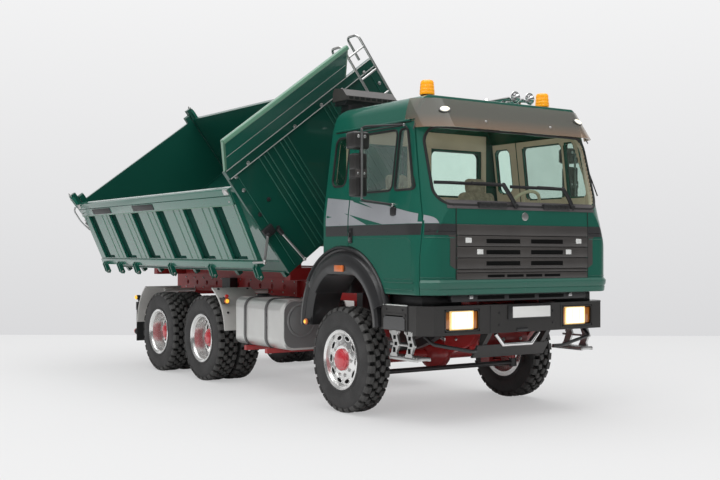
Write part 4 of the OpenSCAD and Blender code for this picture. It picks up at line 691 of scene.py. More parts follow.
flares = Piece("arch_flares", "cab", HOME, "black_plastic", ("fenders",))
lamps = Piece("amber_lamps", "cab", HOME, "lamp_amber", ("cab_lamps",))
for sign in SIGNS:
    flares.arc(flare_at(sign), ARCH, 18.6, 146, SATIN)
    flares.arc([(r, sign * y) for r, y in FLARE_REAR], ARCH, 145, 182, SATIN, 14)
    flares.arc([(r, sign * y) for r, y in FLARE_LEG], ARCH, 2.5, 18.7, SATIN, 8)
    lamps.box((-3.2, sign * 88.6, 101.0), (7.8, sign * 90.2, 105.7), ORANGE, 0.5)
    for y0, y1, r, mat, soft in ((87.5, 89.6, 2.3, ORANGE, 0.7), (88.6, 89.9, 1.6, LIT_AMBER, 0.5),
                                 (86.6, 88, 2.7, BLACK, 0.25)):
        lamps.rod((-44, sign * y0, 63), (-44, sign * y1, 63), r, mat, 20, soft)
    lamps.lathe(BEACON_BASE, (59.3, sign * 54.3, 220.6), UP, BLACK, 28)
    lamps.lathe(BEACON, (59.3, sign * 54.3, 220.6), UP, AMBER, 32)
flares.done()
lamps.done()


# Columns for ribbons: each is a place (x, y), a way to look, and the heights between which it is dropped
def along_side(x0, x1, low, high, step=3.0):
    """Columns that look from outside at the cab's side."""
    n = max(1, round((x1 - x0) / step))
    return [((x, -RAY_START), (0, 1), value_at(low, x), value_at(high, x)) for x in spread(x0, x1, n)]


def round_corner(a0, a1, low, high, n=14):
    """Columns that look from outside at the cab's round front corner, from its front to its side."""
    out = []
    for t in spread(0, 1, n):
        a = math.radians(a0 + (a1 - a0) * t)
        way = Vector((-math.sin(a), math.cos(a)))
        out.append((Vector(CAB_CORNER) - way * RAY_START, way, low, value_at(high, t)))
    return out


def from_inside(x0, x1, low, high):
    """Columns, a millimetre apart, that look from the cab's middle at its side."""
    return [((x, 0), (0, -1), low, high) for x in spread(x0, x1, round(x1 - x0))]


def at_post(a0, a1, low, high, n=110):
    """Columns that look from the cab's middle at its front corner."""
    turns = [math.radians(a) for a in spread(a0, a1, n)]
    return [((40, -20), (math.cos(a), -math.sin(a)), low, high) for a in turns]


def across_front(y0, y1, low, high, n=8):
    """Columns that look from ahead at the cab's front."""
    return [((RAY_START, y), (-1, 0), low, high) for y in spread(y0, y1, n)]


def on_corner(skin, z, turns):
    """Points where the cab's round front corner is met at a height."""
    hits = []
    for degrees in turns:
        a = math.radians(degrees)
        way = Vector((-math.sin(a), math.cos(a), 0))
        hits.append(skin.ray_cast(Vector((*CAB_CORNER, z)) - way * RAY_START, way)[0])
    return [hit for hit in hits if hit is not None]


def swoosh_top(x):
    """Upper edge of the grey stripe along the side."""
    table = ((-24, 154.8), (9, 151.8), (53.5, 146.7), (89.7, 139.7))
    for (a, za), (b, zb) in zip(table, table[1:]):
        if x <= b:
            return za + (zb - za) * (x - a) / (b - a)
    return table[-1][1]


# Cab trim on each side: stripes, seals, seams, handles, sills and lining
STRIPE_Z = (126.4, 133.6)
SWOOSH_LOW = 133.9
VALANCE_Z = 92
VALANCE = [(-0.8, -4.6), (0.5, -4.6), (0.9, -1.4), (0.6, -1.0), (1.5, 0.6), (1.7, 3.2), (0.2, 5.0),
           (-0.8, 5.2)]
for side, place in SIDES:
    door_skin = skin_of(f"door_{side}", place=place)
    panel_skin = skin_of("cab_side_panels", place=place)
    front_skin = skin_of("cab_front", place=place)

    door = Piece(f"door_trim_{side}", f"door_{side}", place, "black_plastic")
    door.ribbon(along_side(8.9, 89.6, *STRIPE_Z), CHARCOAL, door_skin)
    door.ribbon(along_side(8.9, 89.6, SWOOSH_LOW, swoosh_top), GREY, door_skin, rows=6)
    for outline in ([(10, 152.3), (17, 150.6), (38.4, 145.2), (16.6, 151.6)],
                    [(10, 152.9), (38.4, 145.2), (14, 150.4)],
                    [(8.9, 141.7), (50, 134.0), (31, 134.0)]):
        door.decal(outline, GREEN, door_skin)
    for pane in (round_rect((14.5, 156.5), (58, 198), 4.4),
                 loop([(60.5, 156.5), (82.8, 156.5), (69.6, 198), (60.5, 198)], 3.5)):
        door.seal(pane, SEAL, door_skin, r=0.85)
    door.tube([(14, -79.6, 200), (66, -79.6, 200), (70.5, -79.8, 198.6), (84.6, -86.1, 157)], 0.5, SEAL, 6,
              bend=2)
    door.box((9.6, -86.6, 121.4), (13.8, -84.5, 132.2), BLACK, 0.6)
    door.box((10.4, -87.3, 122.6), (13.0, -86.2, 129.4), GLOSS, 0.4)
    for z, r in ((95.2, 0.55), (90.4, 0.55), (97.3, 0.3)):
        door.tube([(52.5, -85.4, z), (84.5, -85.4, z)], r, GREEN, 8)
    door.tube([(15, -85.35, 124.6), (78, -85.35, 124.6), (82.2, -85.3, 121), (82.2, -85.3, 99.5),
               (78, -85.35, 97.4), (53, -85.35, 97.4)], 0.35, GREEN, 8, bend=3)
    door.tube([(78.5, -79.2, 200.2), (79.5, -81.5, 196)], 0.4, BLACK, 6)
    # lining inside the door, glowing as painted light
    door.box((13, -82.2, 104), (84, -81.2, 150), LINING, 0.3)
    door.box((20, -81.4, 118), (66, -78.4, 124), DASH, 1.2, 3)
    door.ribbon(from_inside(9, 90, 150, 203), LINING, door_skin, 0.3, 53)
    door.done()

    cab = Piece(f"cab_trim_{side}", "cab", place, "black_plastic")
    cab.ribbon(along_side(-24.0, 7.7, *STRIPE_Z), CHARCOAL, panel_skin)
    cab.ribbon(along_side(-24.0, 7.7, SWOOSH_LOW, swoosh_top), GREY, panel_skin, rows=6)
    cab.decal([(-23.9, 142.2), (-12.9, 140.4), (-23.9, 139.4)], GREEN, panel_skin)
    cab.decal([(2.7, 142.8), (7.7, 141.9), (7.7, 141.2)], GREEN, panel_skin)
    cab.ribbon(round_corner(27.6, 88.5, 126.2, 133.6), CHARCOAL, front_skin)
    cab.ribbon(round_corner(27.6, 54, SWOOSH_LOW, lambda t: 139.6 - 2.2 * t - 3.2 * t ** 6), GREY, front_skin)
    cab.ribbon(round_corner(27.6, 88, 128.6, 128.9), GLOSS, front_skin, 0.2, 1)
    cab.seal(round_rect((-17.6, 162.4), (0.6, 198.1), 5.5), SEAL, panel_skin, r=0.85)
    cab.ribbon(from_inside(-19, 8, 104, 206), LINING, panel_skin, 0.3, 102)
    cab.ribbon(at_post(8, 62, 146, 202), LINING, front_skin, 0.3, 112)
    cab.ribbon(across_front(-61.3, -60.6, 97, 144, 1), SEAL, front_skin, 0.2, 12)
    ends = across_front(-60.7, -66, 103.4, 126.4, 2)
    cab.ribbon([(at, way, low + 1.6 * k, high) for k, (at, way, low, high) in enumerate(ends)],
               DARK, front_skin, 0.16, 6)
    cab.decal([(-66, 126.4), (-68.5, 126.4), (-67.2, 126.0), (-66.4, 125.2), (-66, 123.8)],
              DARK, front_skin, BACK, 0.16, order="yz")
    path = on_corner(front_skin, VALANCE_Z, range(28, 91, 4))
    path += [Vector((98.5, y, VALANCE_Z)) for y in (-40, -20, 0)]
    cab.sweep(path, VALANCE, GREEN, up=UP)
    for z in (98.4, 124.6):
        cab.tube(on_corner(front_skin, z, range(28, 87, 4)), 0.35, GREEN, 8)
    cab.tube([(-19, -77.9, 203.3), (72, -77.9, 203.3)], 0.7, GREEN, 8)
    cab.tube([(-19, -77.7, 202.2), (72, -77.7, 202.2)], 0.45, SEAL, 6)
    cab.done()

# Front: grille bands with slots, marker lamps, and the shelf behind the bumper
BANDS = ((126.3, 133.5, 99.2), (119.0, 126.0, 99.4), (111.5, 118.7, 99.4), (104.0, 111.2, 99.4),
         (101.7, 103.7, 99.2))
grille = Piece("grille_panel", "cab", HOME, "black_plastic", ("grille",))
for low, high, face in BANDS:
    grille.box((95.2, -60.4, low), (face, 60.4, high), DARK, 0.55)
grille.box((94.4, -59.4, 101.2), (98.4, 59.4, 133.2), SEAL, 0.2)
grille.box((95.2, -60.4, 96.9), (99.0, 60.4, 101.4), DARK, 0.5)
for sign in SIGNS:
    for z in (122.6, 115.2, 107.7):
        grille.box((98.2, sign * 5, z - 1.5), (99.48, sign * 35.5, z + 1.5), OPENING_SHADE, 0.15)
        grille.box((98.4, sign * 4.4, z - 2.3), (99.75, sign * 36.1, z - 1.5), DARK, 0.25)
    for y, z in ((51, 123), (41, 115.4)):
        grille.box((98.4, sign * y - 2.6, z - 1.7), (99.9, sign * y + 2.6, z + 1.7), CLEAR, 0.4)
    grille.box((93.8, sign * 59.6, 83.5), (95.4, sign * 62.4, 87.4), BLACK, 0.3)
    grille.box((95.4, sign * 44.4, 84), (96.6, sign * 47.6, 86.6), STEEL, 0.3)
for k in range(4):
    y = -34 + k * 17.4
    grille.box((98.2, y, 98.3), (99.06, y + 15.2, 100.2), OPENING_SHADE, 0.15)
grille.box((90.5, -62, 82.2), (95.6, 62, 87.6), BLACK, 0.6)
for y in (-40, -12, 16):
    grille.box((95.2, y, 83.6), (95.75, y + 24, 86), OPENING_SHADE, 0.15)
grille.done()

# Screen surround, cowl with its vents and the plain round cap, and the rear panes' seals
screen_skin = skin_of("cab_front", "cab_glass")
rear_skin = skin_of("cab_rear_wall")
screen = Piece("screen_trim", "cab", HOME, "black_plastic")
screen.seal(round_rect((-74.8, 146.2), (74.8, 198.8), 11.6, 9), SEAL, screen_skin, BACK, 1.0, "yz")
screen.ribbon(across_front(-68, 68, 143.8, 149.6, 40), COWL, screen_skin, 0.35, 3)
for y0, y1 in ((-42, -17), (17, 42)):
    screen.box((97.2, y0, 144.6), (99.9, y1, 148.6), BLACK, 0.6)
    for k in range(5):
        screen.box((99.2, y0 + 2 + k * 4.6, 145.4), (100.1, y0 + 5 + k * 4.6, 147.8), SEAL, 0.2)
screen.lathe([(0, 0), (3.0, 0), (2.8, 0.8), (1.2, 1.0), (0, 0.9)], (98.3, 0, 139.5), AHEAD, METAL, 24)
for sign in SIGNS:
    screen.ball((97.2, sign * 63, 145.8), 1.1, BLACK)
    near, far = sorted((sign * 12.4, sign * 62.6))
    screen.seal(round_rect((near, 159.4), (far, 195.6), 5.5), SEAL, rear_skin, AHEAD, 0.9, "yz")
screen.done()

# Mirrors on their poles
POLE = (47.6, -100.8)
for side, place in SIDES:
    mirrors = Piece(f"door_mirrors_{side}", f"door_{side}", place, "black_plastic", (f"mirrors_{side}",))
    mirrors.box((36.6, -107, 184.6), (47.6, -93.6, 196.4), BUMPER, 2.0, 3)
    mirrors.box((36.2, -106, 185.6), (36.9, -94.6, 195.4), MIRROR_GLASS, 0.2)
    for low, high in ((152.4, 165.6), (170.4, 181.8)):
        mirrors.box((38.6, -105.8, low), (46.6, -95.2, high), BUMPER, 1.6, 3)
    mirrors.box((39.2, -105.4, 164.6), (46.8, -95.6, 171.4), BUMPER, 0.8)
    mirrors.box((38.1, -104.8, 153.6), (38.8, -96.2, 180.8), MIRROR_GLASS, 0.2)
    for x, z in ((46.6, 168), (47.5, 193)):
        for y in (-103.4, -98.2):
            mirrors.bolt((x, y, z), AHEAD, 0.85, METAL)
    mirrors.box((46.4, -105.2, 165.2), (47.1, -96.2, 170.8), DARK, 0.3)
    mirrors.tube([(*POLE, 150.3), (*POLE, 198.6)], 0.85, STEEL, 10)
    mirrors.tube([(*POLE, 198.4), (50, -99.5, 199.6), (64, -82.4, 200.3), (66.5, -79.6, 200.4)], 0.75, BLACK,
                 bend=3)
    mirrors.tube([(*POLE, 150.5), (49.5, -99.8, 149.6), (61, -88.2, 147.2), (62.6, -85.6, 146.6)],
                 0.85, BLACK, bend=3)
    mirrors.rod((62.6, -84.2, 146.6), (62.6, -86.8, 146.6), 1.2, METAL, 12)
    mirrors.box((60.0, -86.9, 139.4), (65.6, -84.4, 145.2), BLACK, 1.0, 3)
    mirrors.rod((67.2, -79.0, 200.2), (67.2, -80.8, 200.2), 1.0, METAL, 12)
    mirrors.done()

# Visor lamps and screws; each lamp's ring: finish, share of the full oval, from, to
VISOR_OVAL = (3.0, 5.2)
VISOR_RINGS = ((DARK, 0.86, -0.4, 0.5), (CLEAR, 0.74, 0.2, 0.9), (WARM, 0.6, 0.6, 1.2))
visor = Piece("visor_lamps", "cab", HOME, "lamp_white")
visor_skin = skin_of("sun_visor")


def on_visor(y, z):
    """A point on the visor's front, and the way out of it."""
    at, out = visor_skin.ray_cast(Vector((RAY_FAR, y, z)), Vector(BACK))[:2]
    return at, out if out.x > 0 else -out


for sign in SIGNS:
    at, out = on_visor(sign * 62, 209.6)
    turn = Matrix.Translation(at) @ Vector(UP).rotation_difference(out).to_matrix().to_4x4()
    for mat, share, low, high in VISOR_RINGS:
        oval = [(share * VISOR_OVAL[0] * b, share * VISOR_OVAL[1] * a) for a, b in circle(1, 32)]
        visor.prism(oval, "z", low, high, mat, 0.25, 2, move=turn)
    visor.bolt(*on_visor(sign * 30, 203.4), 0.7, METAL)
visor.done()

# Roof horns
HORN_Z = 227.2
horns = Piece("chrome_horns", "cab", HOME, "chrome", ("roof_horns",))
for y, long in ((21.5, 34), (35.5, 38)):
    rear = 66 - long
    outside = [(0, 0), (2.6, 0), (2.9, 0.6), (2.9, 3.0), (1.5, 4.2), (1.3, 8), (1.5, long - 13),
               (2.0, long - 7), (3.0, long - 3), (4.3, long - 0.4), (4.5, long)]
    mouth = [(4.2, long + 0.2), (3.2, long - 2.0), (2.0, long - 6), (0.9, long - 10), (0, long - 10)]
    horns.lathe(outside + mouth, (rear, y, HORN_Z), AHEAD, CHROME, 28)
    for x in (40, 54):
        horns.box((x - 1.2, y - 1.4, 220.2), (x + 1.2, y + 1.4, 226.4), STEEL, 0.4)
    horns.rod((rear, y, HORN_Z), (rear - 2.6, y, HORN_Z), 1.2, BLACK, 12)
horns.tube([(31, 21.5, 224.6), (30, 28, 223.6), (27, 35.5, 224.8)], 0.6, BLACK, 8, bend=3)
horns.done()


# Wipers
def on_screen(y, z, lift):
    return screen_skin.ray_cast(Vector((RAY_FAR, y, z)), Vector(BACK))[0] + Vector((lift, 0, 0))


BLADE = [(-0.35, -1.0), (0.35, -1.0), (0.5, 0.6), (0.2, 1.2), (-0.2, 1.2), (-0.5, 0.6)]
ARM = [(-1.5, -0.7), (1.5, -0.7), (1.7, 0.2), (1.1, 0.9), (-1.1, 0.9), (-1.7, 0.2)]
wipers = Piece("wiper_arms", "cab", HOME, "black_plastic", ("wipers",))
for (y0, y1, z), (py, pz) in (((-74, -16, 160.7), (-9, 146.6)), ((-10, 40, 159.8), (46, 147))):
    mid = (y0 + y1) / 2
    wipers.sweep([on_screen(y, z, 1.1) for y in spread(y0, y1, 12)], BLADE, BLACK, up=UP)
    clips = spread(y0, y1, 6)
    wipers.tube([on_screen(y, z + 0.4, 2.2) for y in clips[1:6]], 0.45, BLACK, 8)
    for y in clips[1:6:2]:
        wipers.tube([on_screen(y, z + 0.4, 2.3), on_screen(y, z, 0.9)], 0.5, BLACK, 8)
    pivot = on_screen(py, pz, 1.0)
    knee = on_screen(y1 - 1.5, z + 0.2, 3.0)
    halfway = on_screen((py + knee.y) / 2, (pz + z) / 2, 3.0)
    wipers.sweep([pivot + Vector((0.4, 0, 0)), halfway, knee], ARM, BLACK, up=(1, 0, 0.3))
    wipers.tube([knee, on_screen((knee.y + mid) / 2, z + 0.6, 3.0), on_screen(mid, z + 0.6, 2.6)], 0.8, BLACK)
    wipers.ball(knee, 1.5, BLACK, 12)
    wipers.rod(pivot - Vector((1.2, 0, 0)), pivot + Vector((1.6, 0, 0)), 1.7, BLACK, 16)
    wipers.ball(on_screen(mid, z + 0.5, 2.5), 1.1, BLACK, 10)
wipers.done()

# Cab inside: dash with dials and a wheel, gear tunnel, lining and seat bases; dash, lining and wheel glow as
# painted light
SEAT_Y = 38
inside = Piece("cab_fittings", "cab", HOME, "dark_plastic", ("cab_interior",))
inside.prism([(66, 104), (87.5, 104), (92.4, 140), (90.5, 143.4), (72, 145), (66.5, 141), (64.5, 128)],
             "y", -69.8, 69.8, DASH, 1.2, 3)
inside.prism([(63, 126), (68, 128), (70.5, 147.4), (66, 149.4), (61.5, 139)], "y", 20, 56, DASH, 1.2, 3)
for y, r in ((27, 2.6), (38, 3.4), (49, 2.6)):
    inside.rod((62.0, y, 141), (60.9, y, 141.3), r, GLOSS, 20)
for y in (-52, -30, -8):
    inside.box((63.2, y - 8, 130), (65.6, y + 8, 138), SATIN, 0.6)
turn = Matrix.Translation((56, SEAT_Y, 149)) @ Matrix.Rotation(math.radians(-50), 4, "Y")
inside.tube([turn @ Vector((x, y, 0)) for x, y in circle(14, 40)], 1.25, TAN, closed=True)
for x, y in circle(1, 3, math.pi / 2):
    inside.tube([turn @ Vector((3 * x, 3 * y, -1.4)), turn @ Vector((13.6 * x, 13.6 * y, 0))], 0.95, TAN, 8)
inside.lathe([(0, -3), (3.6, -3), (3.8, -0.6), (3.0, 0.5), (0, 0.7)], (0, 0, 0), UP, TAN, 24, move=turn)
inside.tube([turn @ Vector((0, 0, -2)), turn @ Vector((0, 0, -24))], 1.8, BLACK)
inside.box((24, -8, 104), (60, 8, 116), DASH, 2.5, 3)
inside.rod((46, 0, 115), (42, 3, 137), 0.8, STEEL, 10)
inside.ball((42, 3, 138), 2.2, BLACK, 14)
for y0, y1, z0, z1 in ((-68, 68, 104, 158.4), (-68, 68, 196.6, 209), (-68, -63.6, 158, 197),
                       (63.6, 68, 158, 197), (-11.4, 11.4, 158, 197)):
    inside.box((-20.7, y0, z0), (-19.4, y1, z1), LINING, 0.3)
inside.box((-16, -62, 212.6), (66, 62, 213.8), LINING, 0.5)
for sign in SIGNS:
    inside.box((12, sign * SEAT_Y - 15, 104), (42, sign * SEAT_Y + 15, 112.4), SATIN, 1.5)
inside.done()

# Padded seats: a base and a leaning back, each with a raised middle, and a head rest; the cloth glows as
# painted light
seats = Piece("seat_cushions", "cab", HOME, "dark_plastic", sharp=60)
for sign in SIGNS:
    y = sign * SEAT_Y
    seats.box((9, y - 17, 112.2), (46, y + 17, 123.5), SEAT, 4.5, 5)
    seats.box((11, y - 12, 121), (44, y + 12, 125.4), SEAT, 2.0, 4)
    lean = Matrix.Translation((10, y, 122)) @ Matrix.Rotation(math.radians(-8), 4, "Y")
    seats.box((-6.5, -16.5, -2), (3, 16.5, 40), SEAT, 4.0, 5, move=lean)
    seats.box((-1, -11.5, 4), (4.6, 11.5, 36), SEAT, 2.2, 4, move=lean)
    seats.box((-5.5, -9, 39.5), (1.6, 9, 51), SEAT, 3.0, 5, move=lean)
seats.done()

# Entry steps: a grated tread hung on two waisted brackets with holes
STEP_Y = 82
steps = Piece("step_brackets", "chassis", HOME, "bright_metal", ("entry_steps",))
for sign in SIGNS:
    for y0, y1 in ((STEP_Y, 80.2), (71.8, 70)):
        steps.box((53, sign * y0, 43), (84, sign * y1, 45.4), METAL, 0.4)
    for k in range(9):
        x = 53 + k * 3.65
        steps.box((x, sign * 70.6, 43.4), (x + 1.6, sign * 81.4, 45.8), METAL, 0.3)
    for x in (55.5, 72.2):
        outline = [(x - 1, 44.6), (x + 7, 44.6), (x + 7, 46.6), (x + 6, 47.6), (x + 9, 54), (x + 6.6, 59.8),
                   (x + 8, 61), (x + 8, 63), (x - 2, 63), (x - 2, 61), (x, 59.8), (x + 2.6, 54), (x, 47.6),
                   (x - 1, 46.6)]
        steps.prism(outline, "y", sign * STEP_Y, sign * 80.2, METAL, 0.3)
        for cx, cz, tall in ((x + 3.7, 49.6, 1.7), (x + 5.5, 53.8, 1.2), (x + 4.0, 58.0, 1.3)):
            steps.box((cx - 1.5, sign * 81.6, cz - tall), (cx + 1.5, sign * 82.08, cz + tall), OPENING_SHADE, 0.1)
        for dx in (-0.4, 6.4):
            steps.bolt((x + dx, sign * STEP_Y, 62), (0, sign, 0), 0.6, METAL)
    steps.box((54, sign * 81.8, 52.4), (82, sign * 80.4, 54.0), METAL, 0.4)
steps.done()

# Headlamps, bumper seams, plate, corner recesses and the lower bar
lights = Piece("headlamps_lit", "chassis", HOME, "lamp_white", ("headlamps",))
front = Piece("bumper_trim", "chassis", HOME, "black_plastic")
for sign in SIGNS:
    lights.box((93.05, sign * 38.6, 63.0), (93.7, sign * 68.0, 77.2), SEAL, 0.2)
    lights.box((93.4, sign * 43.6, 64.4), (95.5, sign * 61.4, 75.8), WARM, 0.9, 3)
    lights.box((93.4, sign * 39.2, 64.2), (94.9, sign * 42.2, 76.0), DIM_AMBER, 0.6)
    lights.box((93.4, sign * 42.2, 63.7), (94.7, sign * 62.8, 76.5), LIT_EDGE, 0.8)
    lights.box((93.4, sign * 62.8, 64.4), (94.5, sign * 67.4, 75.8), DIM_AMBER, 0.8)
    for k in range(5):
        y = sign * (45.2 + k * 3.6)
        lights.box((95.2, y - 0.15, 65.2), (95.7, y + 0.15, 75.0), CLEAR, 0.05)
    ring = [Vector((95.75, sign * y, z)) for y, z in round_rect((38.9, 63.3), (67.7, 76.9), 1.8)]
    front.tube(ring, 0.55, BLACK, 8, closed=True)
    # pale line along the bumper's top edge: painted highlight
    front.tube([(49.5, sign * 85.2, 79.8), (78, sign * 85.2, 79.8)], 0.45, HIGHLIGHT_LINE, 8)
    front.tube([(79.6, sign * 85.3, 79.6), (88, sign * 85.3, 79.6), (95.9, sign * 77, 79.6),
                (95.9, sign * 20, 79.6)], 0.35, BUMPER, 8)
    front.box((50.5, sign * 44, 79.5), (84.5, sign * 78.4, 86.2), BLACK, 0.6)
    low, high = sorted((sign * 85.2, sign * 86.0))
    front.prism([(52, 63.4), (76, 63.4), (76, 70.5), (73.5, 73), (54.5, 73), (52, 70.5)], "y", low,
                high - 0.3, GLOSS)
    front.prism([(51, 72.2), (77, 72.2), (76, 74.4), (52, 74.4)], "y", low, high, BUMPER, 0.2)
    front.box((78.2, low, 60.8), (79.2, high - 0.4, 79.4), SEAL, 0.1)
    front.tube([(82, sign * 74, 59.5), (89, sign * 72.4, 54.6), (91, sign * 41, 48.6),
                (89.5, sign * 36, 48.6)], 1.25, SATIN, bend=3)
    for z in (66, 74):
        front.bolt((95.9, sign * 25 + 4, z), AHEAD, 0.7, BLACK)
    for x in (55, 73):
        front.bolt((x, sign * 85.5, 77), (0, sign, 0), 0.6, BLACK)
for y in (-29, 36.6):
    front.box((95.4, y - 0.35, 60.8), (96.15, y + 0.35, 79.6), SEAL, 0.1)
front.box((95.6, -13.5, 69.4), (96.9, 26.8, 79.2), BLACK, 0.4)
front.box((96.4, -9.5, 70.4), (97.25, 25.6, 78.0), PLATE, 0.25)
front.box((95.9, -5, 61.0), (96.5, 5, 63.6), SATIN, 0.3)
lights.done()
front.done()

# Air intake: a banded stack with a sloped hood
intake = Piece("intake_stack", "chassis", HOME, "black_plastic", ("air_intake",))


def stack(grow, bend):
    """The stack's outline, grown by a margin."""
    x0, x1, y0, y1 = -45 - grow, -31 + grow, -58 - grow, -44 + grow
    return loop([(x0, y0), (x1, y0), (x1, y1), (x0, y1)], bend)


intake.prism(stack(0, 4), "z", 84, 231, SATIN)
intake.prism([(-47, 229.8), (-47, 236.5), (-44.5, 240), (-33.5, 238.6), (-28, 233), (-28, 229.8)],
             "y", -63, -16, DARK, 0.9, 3)
intake.prism([(-46, 226.6), (-46, 230.2), (-29, 230.2), (-32, 226.6)], "y", -61.5, -17.5, SATIN, 0.5)
for k in range(9):
    y = -60.4 + k * 5.2
    intake.box((-29.6, y, 230.8), (-27.7, y + 3.6, 233.0), SEAL, 0.2)
for z in (96, 120, 170, 206):
    intake.prism(stack(0.6, 4.4), "z", z, z + 1.8, BLACK, 0.3)
intake.box((-41, -44, 84), (-35, -29, 92), SATIN, 0.5)
for z in (97, 121):
    intake.bolt((-30.3, -51, z), AHEAD, 0.7, METAL)
intake.done()

# Load bed boards: rails, slot linings in a dark green that is partly painted shade, beads, seams, corner caps
# and spring catches
RAIL_TOP, RAIL_FOOT = (183.2, 196.9), (129.8, 136.0)
SLOT_FIRST, SLOT_STEP, SLOT_COUNT = -402, 56, 6
CATCH_X = (-413, -375, -334, -252, -171, -92)
CATCH = [(-83.4, 133.5), (-86.4, 131.5), (-86.8, 123.5), (-84.8, 120.4), (-82.7, 122.0), (-82.7, 130)]
CATCH_PIN = (-84.9, 123.2)


def board(piece, paint):
    rear, fore = BOARD_X
    piece.box((rear, -84.0, RAIL_TOP[0]), (fore, -82.0, RAIL_TOP[1]), paint, 0.7, 3)
    piece.box((rear, -83.7, RAIL_FOOT[0]), (fore, -82.0, RAIL_FOOT[1]), paint, 0.6, 3)
    for x0, x1 in ((-388, -341), (-286, -239)):
        piece.box((x0, -84.5, 184.8), (x1, -83.7, 190.2), BLACK, 0.35)
    for k in range(SLOT_COUNT):
        x = SLOT_FIRST + SLOT_STEP * k
        # slot floor and its lower ledge in dark green, partly painted shade in the recess
        piece.box((x - 7.9, -80.2, 137.2), (x + 7.9, -79.7, 182.3), SEAM_AND_SHADE, 0.1)
        piece.box((x + 5, -82.4, 137.0), (x + 17.5, -80.2, 139.8), SEAM_AND_SHADE, 0.3)
        piece.tube([(x - 8.2, -82.25, 137), (x - 8.2, -82.25, 182.6)], 0.45, paint, 8)
        for seam in (x + 28.3, x + 40.1):
            if seam < fore:
                piece.box((seam - 0.35, -82.32, 137), (seam + 0.35, -82.0, 183), SEAM_AND_SHADE, 0.05)
                piece.tube([(seam + 0.7, -82.2, 137), (seam + 0.7, -82.2, 183)], 0.3, HIGHLIGHT_GREEN, 6)
    piece.rod((-92.5, -85.4, 194.5), (-92.5, -83.5, 194.5), 2.0, METAL, 20)
    piece.box((-98, -85.0, 192.2), (fore - 0.2, -83.8, 196.8), METAL, 0.5)
    piece.box((rear + 0.2, -85.0, 192.2), (-415.5, -83.8, 196.8), METAL, 0.5)
    # pale green bead here and on the seams above: painted highlight
    piece.tube([(rear + 0.6, -83.9, 183.4), (fore - 0.3, -83.9, 183.4)], 0.3, HIGHLIGHT_GREEN, 6)
    piece.box((rear + 0.2, -84.12, 190.9), (fore - 0.2, -83.8, 191.4), SEAM_AND_SHADE, 0.05)
    for x in (-418, -95):
        piece.bolt((x, -84.0, 186.5), RIGHT, 0.65, METAL)
    for x in CATCH_X:
        for dx in (-3.0, 1.6):
            piece.prism(CATCH, "x", x + dx, x + dx + 1.4, GREEN, 0.25)
        piece.rod((x - 3.6, *CATCH_PIN), (x + 3.6, *CATCH_PIN), 0.9, METAL, 12)
        piece.ball((x - 3.7, *CATCH_PIN), 1.25, METAL, 12)


# right board trim in the lighter copy of the green (painted light), left board in the darker copy (painted
# shade)
for side, place, paint in (("right", BOARD, LIT_BOARD_GREEN), ("left", BED @ MIRROR, SHADED_BED_GREEN)):
    trim = Piece(f"board_trim_{side}", f"board_{side}", place, "green_paint")
    board(trim, paint)
    if side == "right":
        lever = [BOARD.inverted() @ BED @ Vector(p) for p in ((-73.2, -83.5, 154), (-73.2, -98.4, 139.0))]
        trim.rod(*lever, 1.0, METAL, 14)
        trim.ball(lever[0], 1.7, BLACK, 12)
        trim.ball(lever[1], 1.6, METAL, 12)
        trim.rod(lever[1], lever[1] + Vector((-18, 0, -0.4)), 0.9, METAL, 12)
    trim.done()

GATE_Y = 76.6
GATE_FACE, GATE_RIB = (-430.0, -428.2), 2.6
gate = Piece("tailgate_trim", "tailgate", BED, "green_paint")
for low, high in (RAIL_TOP, RAIL_FOOT):
    gate.box((GATE_FACE[0], -GATE_Y, low), (GATE_FACE[1], GATE_Y, high), SHADED_BED_GREEN, 0.6, 3)
for y in (-76.2, -26, 26, 76.2):
    gate.box((-429.8, max(y - GATE_RIB, -GATE_Y), 136), (GATE_FACE[1], min(y + GATE_RIB, GATE_Y), 183.4),
             SHADED_BED_GREEN, 0.5)
for y in (-69, -34, 34, 69):
    for z in (193.2, 132.8):
        gate.bolt((GATE_FACE[0], y, z), BACK, 0.7, METAL)
gate.box((-430.4, -12, 186), (-429.6, 12, 190.5), BLACK, 0.3)
gate.done()

# Ladder with hooked tops
LADDER_X, LADDER_Y, LADDER_FOOT, RUNG_STEP = -69.7, (58.8, 77.8), 130.8, 21
bars = Piece("ladder_bars", "bed", BED, "bright_metal", ("ladder",))
for y in LADDER_Y:
    bars.tube([(-78.5, y, LADDER_FOOT), (LADDER_X, y, LADDER_FOOT), (LADDER_X, y, 235.8), (-85.7, y, 235.8),
               (-85.7, y, 214.8)], 1.1, METAL, 12, bend=5)
    bars.rod((-79.2, y, LADDER_FOOT), (-77.8, y, LADDER_FOOT), 2.2, METAL, 16)
for k in range(5):
    z = LADDER_FOOT + (k + 0.5) * RUNG_STEP
    bars.tube([(LADDER_X, y, z) for y in LADDER_Y], 0.9, METAL, 12)
bars.done()

